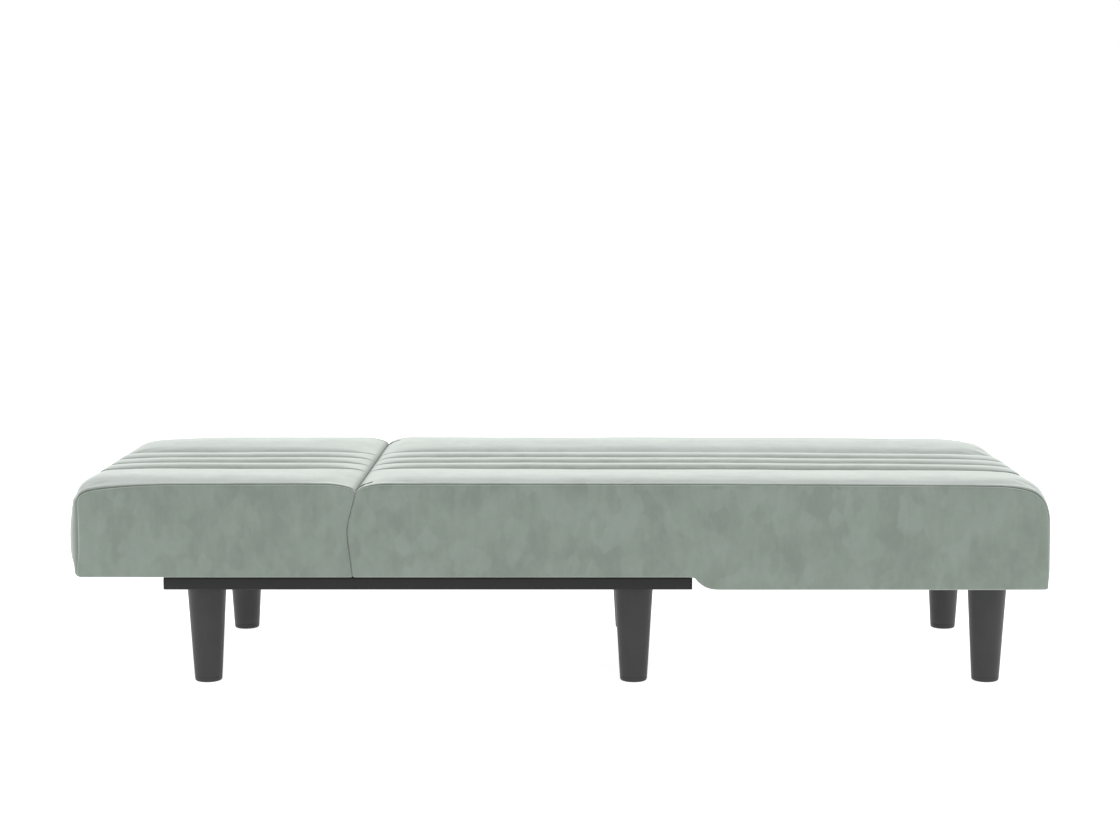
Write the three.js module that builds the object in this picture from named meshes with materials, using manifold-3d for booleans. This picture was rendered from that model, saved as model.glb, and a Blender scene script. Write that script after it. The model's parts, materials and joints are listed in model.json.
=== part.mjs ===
// An upholstered daybed with a tilting head section, in millimetres, +Z up.
// The origin is on the floor under the middle; +X points to the foot end and -Y to the near side.
// The seat section and the head section are sprung timber frames under foam and a fitted cover.
// A steel tube base and six screwed-in legs carry them, and two ratchet hinges join them.

import * as THREE from 'three';
import { mergeVertices } from 'three/addons/utils/BufferGeometryUtils.js';
import Module from 'manifold-3d';

const wasm = await Module();
wasm.setup();

// ---- Driving dimensions ----

const LENGTH = 1400;
const WIDTH = 560;
const TOP_Z = 311;
const GAP = 0.3;

const LEG_LENGTH = 149;
const LEG_TOP_RADIUS = 29;
const LEG_FOOT_RADIUS = 20;
const LEG_Y = 186;
const LEG_X = { head: -523.5, mid: 107.4, foot: 629.6 };
const PLATE_SIDE = 62;
const PLATE_THICKNESS = 2.9;
const STUD_RADIUS = 4;
const STUD_BOTTOM_Z = 118;
const STUD_TOP_Z = 162;

const BAR_SIDE = 18;
const BAR_WALL = 1.5;
const BAR_BOTTOM_Z = 152.5;
const BAR_OUTER_Y = 274;
const BAR_START_X = -571;
const BAR_END_X = 189.5;
const CAP_FLANGE = 2;
const CAP_PLUG = 12;

const SEAM_X = -294;
const SEAM_GAP = 1;
const COVER_THICKNESS = 3;
const HEM_Y = 250;
const HEM_LENGTH = 24;
const STEP_START_X = 192;
const STEP_END_X = 226;
const END_PULL = 5;
const END_FULL_HEIGHT = 45;
const END_ROUND_LENGTH = 95;
const END_ROUND_DROP = 34;
const CREASE_LENGTH = 36;
const CREASE_DROP = 19;
const EDGE_RADIUS = 9;
const LINING_THICKNESS = 1.2;

const RAIL_THICKNESS = 20;
const RAIL_TOP_Z = 232;
const RAIL_OUTER_Y = 267;
const HEAD_RAIL_INSET = 3.6;
const FRAME_INSET = 16;
const FRAME_SEAM_INSET = 9;
const CROSS_RAIL_X = 200;
const LEG_RAIL_WIDTH = 50;
const LEG_RAIL_HEIGHT = 24;
const FOAM_BOTTOM_Z = 236.5;
const SPRING_WIRE_RADIUS = 1.8;
const SPRING_LOOPS = 7;
const SPRING_HALF_WIDTH = 25;
const SPRING_HALF_SPAN = 256;
const SEAT_SPRING_X = [-110, 50, 330, 490];
const HEAD_SPRING_X = [-430, -570];

const PIVOT_X = -278;
const PIVOT_Z = 291;
const HINGE_PLATE = 3;
const BRACKET_Y = 243.7;
const ARM_Y = 240.1;
const PIVOT_RADIUS = 4;
const BOSS_RADIUS = 10.5;
const RATCHET_RADIUS = 30;
const NOTCH_FLOOR_RADIUS = 24.2;
const NOTCH_HALF_WIDTH = 4.4;
const PAWL_ANGLE = 20;
const NOTCH_STEPS = [0, 35.6, 65];
const PAWL_PIN = { x: 42.4, z: -22.9 };
const PAWL_PIN_RADIUS = 3;
const PAWL_HUB_RADIUS = 7.5;
const PAWL_REST_GAP = 0.6;
const PAWL_BOSS_RADIUS = 9;
const ARM_REACH = 150;
const BRACKET_REACH = 128;
const RIVET_HEAD_HEIGHT = 1.6;
const PIVOT_HEAD_RADIUS = 7.5;
const PAWL_PIN_HEAD_RADIUS = 5.5;
const LEAF_THICKNESS = 0.8;
const SLOT_INNER_Y = 236.2;
const SLOT_OUTER_Y = 250.5;

// ---- Shared values worked out from the driving dimensions ----

const BAR_TOP_Z = BAR_BOTTOM_Z + BAR_SIDE;
const SECTION_BOTTOM_Z = BAR_TOP_Z + GAP;
const BAR_INNER_Y = BAR_OUTER_Y - BAR_SIDE;
const RAIL_INNER_Y = RAIL_OUTER_Y - RAIL_THICKNESS;
const RAIL_CLEARANCE = COVER_THICKNESS + GAP;
const RAIL_BOTTOM_Z = SECTION_BOTTOM_Z + RAIL_CLEARANCE;
const LOW_RAIL_BOTTOM_Z = BAR_BOTTOM_Z + RAIL_CLEARANCE;
const SEAT_FRAME_X = [SEAM_X + FRAME_SEAM_INSET, LENGTH / 2 - FRAME_INSET];
const HEAD_FRAME_X = [-LENGTH / 2 + FRAME_INSET, SEAM_X - FRAME_SEAM_INSET];
const BELOW_SECTIONS_Z = BAR_BOTTOM_Z - 12;
const RIVET_LENGTH = BRACKET_Y + HINGE_PLATE - ARM_Y + 4;
const SIDES = [{ name: 'near', sign: -1 }, { name: 'far', sign: 1 }];

// ---- Materials ----

function material(colour, roughness, metalness = 0) {
  return new THREE.MeshStandardMaterial({ color: colour, roughness, metalness });
}

const velvet = () => material(0x8f9990, 0.9);
const foam = () => material(0xe7dfc4, 0.95);
const lining = () => material(0x2b2b2b, 0.95);
const timber = () => material(0xb9935f, 0.65);
const blackSteel = () => material(0x2f3030, 0.45, 0.3);
const zincSteel = () => material(0xa8a9a6, 0.4, 0.9);
const legPlastic = () => material(0x353535, 0.7);

// ---- Geometry helpers ----

function solidOf(geometry) {
  const bare = geometry.clone();
  bare.deleteAttribute('normal');
  bare.deleteAttribute('uv');
  const merged = mergeVertices(bare, 1e-4);
  return new wasm.Manifold(new wasm.Mesh({
    numProp: 3,
    vertProperties: new Float32Array(merged.attributes.position.array),
    triVerts: new Uint32Array(merged.index.array),
  }));
}

function geometryOf(solid) {
  const { vertProperties, triVerts } = solid.getMesh();
  const geometry = new THREE.BufferGeometry();
  geometry.setAttribute('position', new THREE.BufferAttribute(vertProperties, 3));
  geometry.setIndex(new THREE.BufferAttribute(triVerts, 1));
  geometry.computeVertexNormals();
  return geometry;
}

function cut(geometry, ...tools) {
  let solid = solidOf(geometry);
  for (const tool of tools) solid = solid.subtract(solidOf(tool));
  return geometryOf(solid);
}

function boxBetween(low, high) {
  const size = high.map((value, axis) => value - low[axis]);
  const middle = high.map((value, axis) => (value + low[axis]) / 2);
  return new THREE.BoxGeometry(...size).translate(...middle);
}

// A box on one side of the mirror plane, from innerY to outerY away from it.
function sideBox(sign, x, innerY, outerY, z) {
  const y = sign > 0 ? [innerY, outerY] : [-outerY, -innerY];
  return boxBetween([x[0], y[0], z[0]], [x[1], y[1], z[1]]);
}

// An outline drawn in X and Z, extruded along Y from innerY to outerY on one side.
function sidePlate(outline, sign, innerY, outerY, curveSegments = 6) {
  const options = { depth: outerY - innerY, bevelEnabled: false, curveSegments };
  const geometry = new THREE.ExtrudeGeometry(outline, options).rotateX(Math.PI / 2);
  return geometry.translate(0, sign > 0 ? outerY : -innerY, 0);
}

// An outline drawn in X and Z, extruded across the whole width, with its side edges rounded.
function crossSlab(outline, halfWidth, edgeRadius) {
  const bevel = {
    bevelEnabled: edgeRadius > 0,
    bevelThickness: edgeRadius,
    bevelSize: edgeRadius,
    bevelOffset: -edgeRadius,
    bevelSegments: 3,
  };
  const depth = 2 * (halfWidth - edgeRadius);
  const geometry = new THREE.ExtrudeGeometry(plainOutline(outline), { depth, ...bevel });
  return geometry.rotateX(Math.PI / 2).translate(0, depth / 2, 0);
}

function polygon(points) {
  return new THREE.Shape(points.map(([x, z]) => new THREE.Vector2(x, z)));
}

// The same outline as plain points, with the repeats left out where a line meets an arc.
function plainOutline(outline, curveSegments = 6) {
  const kept = [];
  for (const point of outline.getPoints(curveSegments)) {
    const last = kept.at(-1);
    if (!last || last.distanceTo(point) > 0.01) kept.push(point);
  }
  if (kept[0].distanceTo(kept.at(-1)) < 0.01) kept.pop();
  return new THREE.Shape(kept);
}

function circleHole(shape, x, z, radius) {
  shape.holes.push(new THREE.Path().absarc(x, z, radius, 0, 2 * Math.PI, true));
  return shape;
}

function uprightCylinder(x, y, radius, bottomZ, topZ, sides = 12) {
  const geometry = new THREE.CylinderGeometry(radius, radius, topZ - bottomZ, sides);
  return geometry.rotateX(Math.PI / 2).translate(x, y, (bottomZ + topZ) / 2);
}

const daybed = new THREE.Group();

function add(name, geometry, look, position = [0, 0, 0]) {
  const mesh = new THREE.Mesh(geometry, look);
  mesh.name = name;
  mesh.position.set(...position);
  daybed.add(mesh);
}

// ---- Cushion outlines in X and Z, drawn inset from the cover's outer face ----

// An outer end, head or foot: pulled in a little at the bottom, full above that, and rounded over
// to the top by a long, shallow quarter ellipse.
function drawOuterEnd(shape, sign, bottomZ, inset) {
  const outerX = sign * (LENGTH / 2 - inset);
  const bottomX = outerX - sign * END_PULL;
  const fullZ = bottomZ + END_FULL_HEIGHT;
  const shoulderZ = TOP_Z - END_ROUND_DROP;
  const radii = [END_ROUND_LENGTH - inset, END_ROUND_DROP - inset];
  const shoulderX = outerX - sign * radii[0];
  if (sign > 0) {
    shape.lineTo(bottomX, bottomZ);
    shape.quadraticCurveTo(outerX, fullZ, outerX, shoulderZ);
    shape.absellipse(shoulderX, shoulderZ, ...radii, 0, Math.PI / 2, false);
  } else {
    shape.lineTo(shoulderX, TOP_Z - inset);
    shape.absellipse(shoulderX, shoulderZ, ...radii, Math.PI / 2, Math.PI, false);
    shape.quadraticCurveTo(outerX, fullZ, bottomX, bottomZ);
  }
}

function seatOutline(inset) {
  const creaseX = SEAM_X + SEAM_GAP / 2 + inset;
  const highZ = SECTION_BOTTOM_Z + inset;
  const lowZ = BAR_BOTTOM_Z + inset;
  const shape = new THREE.Shape();
  shape.moveTo(creaseX, highZ);
  shape.lineTo(STEP_START_X + inset, highZ);
  const bendX = STEP_START_X + (STEP_END_X - STEP_START_X) / 3 + inset;
  shape.quadraticCurveTo(bendX, lowZ + 2, STEP_END_X + inset, lowZ);
  drawOuterEnd(shape, 1, lowZ, inset);
  const roundX = creaseX + CREASE_LENGTH - inset;
  shape.lineTo(roundX, TOP_Z - inset);
  shape.absellipse(roundX, TOP_Z - CREASE_DROP, CREASE_LENGTH - inset, CREASE_DROP - inset,
    Math.PI / 2, Math.PI, false);
  return shape;
}

function headOutline(inset) {
  const creaseX = SEAM_X - SEAM_GAP / 2 - inset;
  const bottomZ = SECTION_BOTTOM_Z + inset;
  const shape = new THREE.Shape();
  shape.moveTo(creaseX, bottomZ);
  shape.lineTo(creaseX, TOP_Z - CREASE_DROP);
  shape.absellipse(creaseX - CREASE_LENGTH + inset, TOP_Z - CREASE_DROP,
    CREASE_LENGTH - inset, CREASE_DROP - inset, 0, Math.PI / 2, false);
  drawOuterEnd(shape, -1, bottomZ, inset);
  return shape;
}

// ---- Legs, their plates and studs ----

// A tapered turned leg with a softened foot, a small top chamfer and a blind hole for the stud.
function legGeometry() {
  const softening = 2.8;
  const chamfer = 1.5;
  const profile = [
    [0, 0],
    [LEG_FOOT_RADIUS - softening, 0],
    [LEG_FOOT_RADIUS - softening / 4, softening / 4],
    [LEG_FOOT_RADIUS, softening],
    [LEG_TOP_RADIUS, LEG_LENGTH - chamfer],
    [LEG_TOP_RADIUS - chamfer, LEG_LENGTH],
    [STUD_RADIUS + GAP, LEG_LENGTH],
    [STUD_RADIUS + GAP, STUD_BOTTOM_Z - GAP],
    [0, STUD_BOTTOM_Z - GAP],
  ];
  const points = profile.map(([radius, z]) => new THREE.Vector2(radius, z));
  return new THREE.LatheGeometry(points, 20).rotateX(Math.PI / 2);
}

function legPlateGeometry() {
  const half = PLATE_SIDE / 2;
  const corner = 8;
  const shape = new THREE.Shape();
  shape.absarc(half - corner, half - corner, corner, 0, Math.PI / 2, false);
  shape.absarc(corner - half, half - corner, corner, Math.PI / 2, Math.PI, false);
  shape.absarc(corner - half, corner - half, corner, Math.PI, 1.5 * Math.PI, false);
  shape.absarc(half - corner, corner - half, corner, 1.5 * Math.PI, 2 * Math.PI, false);
  circleHole(shape, 0, 0, STUD_RADIUS + GAP);
  const options = { depth: PLATE_THICKNESS, bevelEnabled: false, curveSegments: 4 };
  return new THREE.ExtrudeGeometry(shape, options);
}

function addLegs() {
  for (const [place, x] of Object.entries(LEG_X)) {
    for (const { name, sign } of SIDES) {
      const y = sign * LEG_Y;
      add(`leg_${place}_${name}`, legGeometry(), legPlastic(), [x, y, 0]);
      const plateZ = LEG_LENGTH + GAP;
      add(`leg_plate_${place}_${name}`, legPlateGeometry(), zincSteel(), [x, y, plateZ]);
      const stud = uprightCylinder(0, 0, STUD_RADIUS, STUD_BOTTOM_Z, STUD_TOP_Z);
      add(`leg_stud_${place}_${name}`, stud, zincSteel(), [x, y, 0]);
    }
  }
}

function studHoles(x) {
  const radius = STUD_RADIUS + GAP;
  const [bottomZ, topZ] = [BAR_BOTTOM_Z - 5, STUD_TOP_Z + GAP];
  return SIDES.map(({ sign }) => uprightCylinder(x, sign * LEG_Y, radius, bottomZ, topZ));
}

// ---- Tube base ----

function tubeSection() {
  const half = BAR_SIDE / 2;
  const inner = half - BAR_WALL;
  const shape = polygon([[-half, -half], [half, -half], [half, half], [-half, half]]);
  const bore = [[-inner, -inner], [-inner, inner], [inner, inner], [inner, -inner]];
  shape.holes.push(new THREE.Path(bore.map(([a, b]) => new THREE.Vector2(a, b))));
  return shape;
}

function tubeAlongX(startX, endX, y) {
  const options = { depth: endX - startX, bevelEnabled: false };
  const geometry = new THREE.ExtrudeGeometry(tubeSection(), options).rotateY(Math.PI / 2);
  return geometry.translate(startX, y, BAR_BOTTOM_Z + BAR_SIDE / 2);
}

function tubeAcross(x) {
  const half = BAR_INNER_Y - GAP;
  const options = { depth: 2 * half, bevelEnabled: false };
  const geometry = new THREE.ExtrudeGeometry(tubeSection(), options).rotateX(Math.PI / 2);
  return geometry.translate(x, half, BAR_BOTTOM_Z + BAR_SIDE / 2);
}

function capGeometry(endX, direction, y) {
  const z = BAR_BOTTOM_Z + BAR_SIDE / 2;
  const plugHalf = BAR_SIDE / 2 - BAR_WALL - GAP;
  const flangeFace = endX - direction * CAP_FLANGE;
  const plugEnd = flangeFace - direction * CAP_PLUG;
  const flangeX = [Math.min(endX, flangeFace), Math.max(endX, flangeFace)];
  const plugX = [Math.min(flangeFace, plugEnd), Math.max(flangeFace, plugEnd)];
  const half = BAR_SIDE / 2;
  const flange = boxBetween([flangeX[0], y - half, z - half], [flangeX[1], y + half, z + half]);
  const plug = boxBetween(
    [plugX[0], y - plugHalf, z - plugHalf],
    [plugX[1], y + plugHalf, z + plugHalf],
  );
  return geometryOf(solidOf(flange).add(solidOf(plug)));
}

function addBase() {
  for (const { name, sign } of SIDES) {
    const y = sign * (BAR_OUTER_Y - BAR_SIDE / 2);
    const tubeStart = BAR_START_X + CAP_FLANGE + GAP;
    const tubeEnd = BAR_END_X - CAP_FLANGE - GAP;
    add(`base_bar_${name}`, tubeAlongX(tubeStart, tubeEnd, y), blackSteel());
    add(`base_bar_cap_head_${name}`, capGeometry(BAR_START_X, -1, y), legPlastic());
    add(`base_bar_cap_foot_${name}`, capGeometry(BAR_END_X, 1, y), legPlastic());
  }
  for (const place of ['head', 'mid']) {
    const tube = cut(tubeAcross(LEG_X[place]), ...studHoles(LEG_X[place]));
    add(`base_cross_bar_${place}`, tube, blackSteel());
  }
}

// ---- Timber frames ----

// The side rails drop to the lower underside past the end of the base bars.
function seatRailOutline() {
  const [start, end] = SEAT_FRAME_X;
  return polygon([
    [start, RAIL_BOTTOM_Z],
    [STEP_START_X + 6, RAIL_BOTTOM_Z],
    [STEP_END_X + 12, LOW_RAIL_BOTTOM_Z],
    [end, LOW_RAIL_BOTTOM_Z],
    [end, RAIL_TOP_Z],
    [start, RAIL_TOP_Z],
  ]);
}

function crossRail(x, halfWidth, z) {
  return boxBetween([x[0], -halfWidth, z[0]], [x[1], halfWidth, z[1]]);
}

function addSeatFrame() {
  for (const { name, sign } of SIDES) {
    const rail = sidePlate(seatRailOutline(), sign, RAIL_INNER_Y, RAIL_OUTER_Y);
    add(`seat_rail_${name}`, rail, timber());
  }
  const [start, end] = SEAT_FRAME_X;
  const hingeRail = crossRail([start, start + RAIL_THICKNESS], BRACKET_Y - GAP,
    [RAIL_BOTTOM_Z, RAIL_TOP_Z]);
  add('seat_rail_hinge_end', hingeRail, timber());
  const footRail = crossRail([end - RAIL_THICKNESS, end], RAIL_INNER_Y - GAP,
    [LOW_RAIL_BOTTOM_Z, RAIL_TOP_Z]);
  add('seat_rail_foot_end', footRail, timber());
  const crossX = [CROSS_RAIL_X - RAIL_THICKNESS, CROSS_RAIL_X];
  const middleRail = crossRail(crossX, RAIL_INNER_Y - GAP, [RAIL_BOTTOM_Z + 8, RAIL_TOP_Z - 4]);
  add('seat_cross_rail', middleRail, timber());
  const legRail = crossRail(
    [LEG_X.foot - LEG_RAIL_WIDTH / 2, LEG_X.foot + LEG_RAIL_WIDTH / 2],
    RAIL_INNER_Y - GAP,
    [LOW_RAIL_BOTTOM_Z, LOW_RAIL_BOTTOM_Z + LEG_RAIL_HEIGHT],
  );
  add('seat_leg_rail', cut(legRail, ...studHoles(LEG_X.foot)), timber());
}

function addHeadFrame() {
  const [start, end] = HEAD_FRAME_X;
  const outerY = RAIL_OUTER_Y - HEAD_RAIL_INSET;
  const innerY = outerY - RAIL_THICKNESS;
  const z = [RAIL_BOTTOM_Z, RAIL_TOP_Z];
  for (const { name, sign } of SIDES) {
    add(`head_rail_${name}`, sideBox(sign, [start, end], innerY, outerY, z), timber());
  }
  const hingeRail = crossRail([end - RAIL_THICKNESS, end], ARM_Y - GAP, z);
  add('head_rail_hinge_end', hingeRail, timber());
  const topRail = crossRail([start, start + RAIL_THICKNESS], innerY - GAP, z);
  add('head_rail_top_end', topRail, timber());
}

// ---- Zigzag springs laid across the rails ----

class ZigzagCurve extends THREE.Curve {
  getPoint(t, target = new THREE.Vector3()) {
    const sway = SPRING_HALF_WIDTH * Math.sin(2 * Math.PI * SPRING_LOOPS * t);
    return target.set(sway, SPRING_HALF_SPAN * (2 * t - 1), 0);
  }
}

function springGeometry() {
  const section = new THREE.Shape();
  section.absarc(0, 0, SPRING_WIRE_RADIUS, 0, 2 * Math.PI, false);
  return new THREE.ExtrudeGeometry(section, {
    extrudePath: new ZigzagCurve(),
    steps: SPRING_LOOPS * 6,
    curveSegments: 2,
  });
}

function addSprings(prefix, places) {
  const z = RAIL_TOP_Z + GAP + SPRING_WIRE_RADIUS + 0.1;
  places.forEach((x, index) => {
    add(`${prefix}_spring_${index + 1}`, springGeometry(), zincSteel(), [x, 0, z]);
  });
}

// ---- Ratchet hinges, drawn around the pivot ----

const radians = THREE.MathUtils.degToRad;
const HINGE_ORIGIN = [PIVOT_X, 0, PIVOT_Z];

// A point at a distance out from the pivot and along the rim, at an angle from straight down.
function aroundPivot(angle, out, along) {
  const a = radians(angle);
  return [
    out * Math.sin(a) + along * Math.cos(a),
    -out * Math.cos(a) + along * Math.sin(a),
  ];
}

function arcPoints(centre, radius, fromAngle, toAngle, count) {
  const points = [];
  for (let i = 0; i <= count; i += 1) {
    const a = radians(fromAngle + ((toAngle - fromAngle) * i) / count);
    points.push([centre.x + radius * Math.cos(a), centre.z + radius * Math.sin(a)]);
  }
  return points;
}

const RIM_START = -8;
const RIM_END = 100;
const NOTCH_HALF_ANGLE = THREE.MathUtils.radToDeg(Math.asin(NOTCH_HALF_WIDTH / RATCHET_RADIUS));
const RIM_OUT_AT_NOTCH = Math.sqrt(RATCHET_RADIUS ** 2 - NOTCH_HALF_WIDTH ** 2);

// The toothed rim, from the head side round to the foot side, with one notch for each position.
function ratchetRim() {
  const points = [];
  let from = RIM_START;
  for (const step of NOTCH_STEPS) {
    const notch = PAWL_ANGLE + step;
    const landEnd = notch - NOTCH_HALF_ANGLE;
    for (let i = 0; i < 4; i += 1) {
      points.push(aroundPivot(from + ((landEnd - from) * i) / 4, RATCHET_RADIUS, 0));
    }
    points.push(aroundPivot(notch, RIM_OUT_AT_NOTCH, -NOTCH_HALF_WIDTH));
    points.push(aroundPivot(notch, NOTCH_FLOOR_RADIUS, -NOTCH_HALF_WIDTH));
    points.push(aroundPivot(notch, NOTCH_FLOOR_RADIUS, NOTCH_HALF_WIDTH));
    points.push(aroundPivot(notch, RIM_OUT_AT_NOTCH, NOTCH_HALF_WIDTH));
    from = notch + NOTCH_HALF_ANGLE + 2;
  }
  points.push(aroundPivot(RIM_END, RATCHET_RADIUS, 0));
  return points;
}

const PLATE_TOP = RAIL_TOP_Z - PIVOT_Z - 6;
const PLATE_BOTTOM = RAIL_BOTTOM_Z - PIVOT_Z + 4;

function armOutline() {
  const boss = arcPoints({ x: 0, z: 0 }, BOSS_RADIUS, 20, 142, 8);
  const tail = [
    [-60, PLATE_TOP + 6],
    [-ARM_REACH, PLATE_TOP],
    [-ARM_REACH, PLATE_BOTTOM],
    [-34, PLATE_BOTTOM],
    [-26, -50],
  ];
  return circleHole(polygon([...ratchetRim(), ...boss, ...tail]), 0, 0, PIVOT_RADIUS + GAP);
}

function bracketOutline() {
  const pawlBoss = arcPoints(PAWL_PIN, PAWL_BOSS_RADIUS, -60, 60, 5);
  const pivotBoss = arcPoints({ x: 0, z: 0 }, BOSS_RADIUS, 55, 190, 8);
  const shape = polygon([
    [-6.5, PLATE_BOTTOM],
    [BRACKET_REACH, PLATE_BOTTOM],
    [BRACKET_REACH, PLATE_TOP],
    [76, PLATE_TOP + 4],
    ...pawlBoss,
    ...pivotBoss,
    [-6.5, -40],
  ]);
  circleHole(shape, 0, 0, PIVOT_RADIUS + GAP);
  return circleHole(shape, PAWL_PIN.x, PAWL_PIN.z, PAWL_PIN_RADIUS + GAP);
}

function pawlOutline() {
  const nose = RATCHET_RADIUS + PAWL_REST_GAP;
  const shape = polygon([
    aroundPivot(PAWL_ANGLE, nose, 2.6),
    aroundPivot(PAWL_ANGLE, nose, -2.6),
    aroundPivot(PAWL_ANGLE, nose + 10.5, -3.4),
    ...arcPoints(PAWL_PIN, PAWL_HUB_RADIUS, -80, 100, 8),
    aroundPivot(PAWL_ANGLE, nose + 4.6, 4),
  ]);
  return circleHole(shape, PAWL_PIN.x, PAWL_PIN.z, PAWL_PIN_RADIUS + GAP);
}

// A leaf spring under the pawl, held at its foot end and bearing under the nose.
function pawlSpringOutline() {
  const foot = { x: 66, z: -50 };
  const tip = { x: 19.5, z: -39.6 };
  const bendX = 40;
  const shape = new THREE.Shape();
  shape.moveTo(foot.x, foot.z);
  shape.lineTo(foot.x, foot.z + LEAF_THICKNESS);
  shape.quadraticCurveTo(bendX, foot.z + LEAF_THICKNESS, tip.x, tip.z);
  shape.lineTo(tip.x, tip.z - LEAF_THICKNESS);
  shape.quadraticCurveTo(bendX, foot.z - LEAF_THICKNESS, foot.x, foot.z);
  return shape;
}

function rivetGeometry(radius, headRadius) {
  const half = RIVET_LENGTH / 2;
  const headHeight = RIVET_HEAD_HEIGHT;
  const profile = [
    [0, -half],
    [headRadius, -half],
    [headRadius, headHeight - half],
    [radius, headHeight - half],
    [radius, half - headHeight],
    [headRadius, half - headHeight],
    [headRadius, half],
    [0, half],
  ];
  return new THREE.LatheGeometry(profile.map(([r, y]) => new THREE.Vector2(r, y)), 16);
}

function addHinges() {
  const bracketOuter = BRACKET_Y + HINGE_PLATE;
  const armOuter = ARM_Y + HINGE_PLATE;
  const rivetMiddle = (ARM_Y + bracketOuter) / 2;
  for (const { name, sign } of SIDES) {
    const bracket = sidePlate(bracketOutline(), sign, BRACKET_Y, bracketOuter);
    add(`hinge_bracket_${name}`, bracket, zincSteel(), HINGE_ORIGIN);
    const arm = sidePlate(armOutline(), sign, ARM_Y, armOuter);
    add(`hinge_arm_${name}`, arm, zincSteel(), HINGE_ORIGIN);
    const pawl = sidePlate(pawlOutline(), sign, ARM_Y, armOuter);
    add(`pawl_${name}`, pawl, zincSteel(), HINGE_ORIGIN);
    const spring = sidePlate(pawlSpringOutline(), sign, ARM_Y + GAP, armOuter + GAP, 5);
    add(`pawl_spring_${name}`, spring, zincSteel(), HINGE_ORIGIN);
    const rivetY = sign * rivetMiddle;
    const pivotRivet = rivetGeometry(PIVOT_RADIUS, PIVOT_HEAD_RADIUS);
    add(`hinge_pin_${name}`, pivotRivet, zincSteel(), [PIVOT_X, rivetY, PIVOT_Z]);
    const pawlRivet = rivetGeometry(PAWL_PIN_RADIUS, PAWL_PIN_HEAD_RADIUS);
    const pawlPlace = [PIVOT_X + PAWL_PIN.x, rivetY, PIVOT_Z + PAWL_PIN.z];
    add(`pawl_pin_${name}`, pawlRivet, zincSteel(), pawlPlace);
  }
}

// ---- Foam, fitted covers and underside linings ----

const SLOT_TOP_Z = PIVOT_Z + BOSS_RADIUS + 2.9;
const SEAT_SLOT_X = [SEAM_X - 6, PIVOT_X + 78];
const HEAD_SLOT_X = [PIVOT_X - 76, SEAM_X + 6];
const HEM_OPENING_TOP_Z = 220;

function hingeSlots(x, bottomZ, topZ) {
  const z = [bottomZ, topZ];
  return SIDES.map(({ sign }) => sideBox(sign, x, SLOT_INNER_Y, SLOT_OUTER_Y, z));
}

// The cover wraps the top, sides and ends and turns in under the rails as a hem.
function coverGeometry(outline, openingX, slotX) {
  const inner = crossSlab(outline(COVER_THICKNESS), WIDTH / 2 - COVER_THICKNESS,
    EDGE_RADIUS - COVER_THICKNESS);
  const opening = boxBetween([openingX[0], -HEM_Y, BELOW_SECTIONS_Z],
    [openingX[1], HEM_Y, HEM_OPENING_TOP_Z]);
  return cut(crossSlab(outline(0), WIDTH / 2, EDGE_RADIUS), inner, opening,
    ...hingeSlots(slotX, RAIL_BOTTOM_Z, SLOT_TOP_Z));
}

function foamGeometry(outline, frameX, slotX) {
  const halfWidth = WIDTH / 2 - RAIL_CLEARANCE;
  const block = crossSlab(outline(RAIL_CLEARANCE), halfWidth, EDGE_RADIUS - RAIL_CLEARANCE);
  const frameY = RAIL_OUTER_Y + GAP;
  const space = boxBetween([frameX[0] - GAP, -frameY, BELOW_SECTIONS_Z],
    [frameX[1] + GAP, frameY, FOAM_BOTTOM_Z]);
  return cut(block, space, ...hingeSlots(slotX, FOAM_BOTTOM_Z - 1, TOP_Z));
}

function liningOutline(startX, endX, stepped) {
  const top = SECTION_BOTTOM_Z + LINING_THICKNESS;
  if (!stepped) {
    return polygon([
      [startX, SECTION_BOTTOM_Z],
      [endX, SECTION_BOTTOM_Z],
      [endX, top],
      [startX, top],
    ]);
  }
  const lowTop = BAR_BOTTOM_Z + LINING_THICKNESS;
  return polygon([
    [startX, SECTION_BOTTOM_Z],
    [STEP_START_X + 2, SECTION_BOTTOM_Z],
    [STEP_END_X + 2, BAR_BOTTOM_Z],
    [endX, BAR_BOTTOM_Z],
    [endX, lowTop],
    [STEP_END_X + 2.6, lowTop],
    [STEP_START_X + 2.6, top],
    [startX, top],
  ]);
}

function addUpholstery() {
  const outerHem = HEM_LENGTH + END_PULL;
  const seatOpening = [SEAM_X + HEM_LENGTH, LENGTH / 2 - outerHem];
  const headOpening = [-LENGTH / 2 + outerHem, SEAM_X - HEM_LENGTH];
  const liningY = HEM_Y - GAP;

  add('seat_cover', coverGeometry(seatOutline, seatOpening, SEAT_SLOT_X), velvet());
  add('seat_foam', foamGeometry(seatOutline, SEAT_FRAME_X, SEAT_SLOT_X), foam());
  const seatLining = liningOutline(seatOpening[0] + GAP, seatOpening[1] - GAP, true);
  const seatSheet = cut(crossSlab(seatLining, liningY, 0), ...studHoles(LEG_X.foot));
  add('seat_dust_cover', seatSheet, lining());

  add('head_cover', coverGeometry(headOutline, headOpening, HEAD_SLOT_X), velvet());
  add('head_foam', foamGeometry(headOutline, HEAD_FRAME_X, HEAD_SLOT_X), foam());
  const headLining = liningOutline(headOpening[0] + GAP, headOpening[1] - GAP, false);
  add('head_dust_cover', crossSlab(headLining, liningY, 0), lining());
}

addLegs();
addBase();
addSeatFrame();
addHeadFrame();
addSprings('seat', SEAT_SPRING_X);
addSprings('head', HEAD_SPRING_X);
addHinges();
addUpholstery();

export default daybed;
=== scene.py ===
import json
import math

import bmesh
import bpy
import numpy as np
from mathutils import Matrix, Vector, geometry, kdtree, noise


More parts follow.
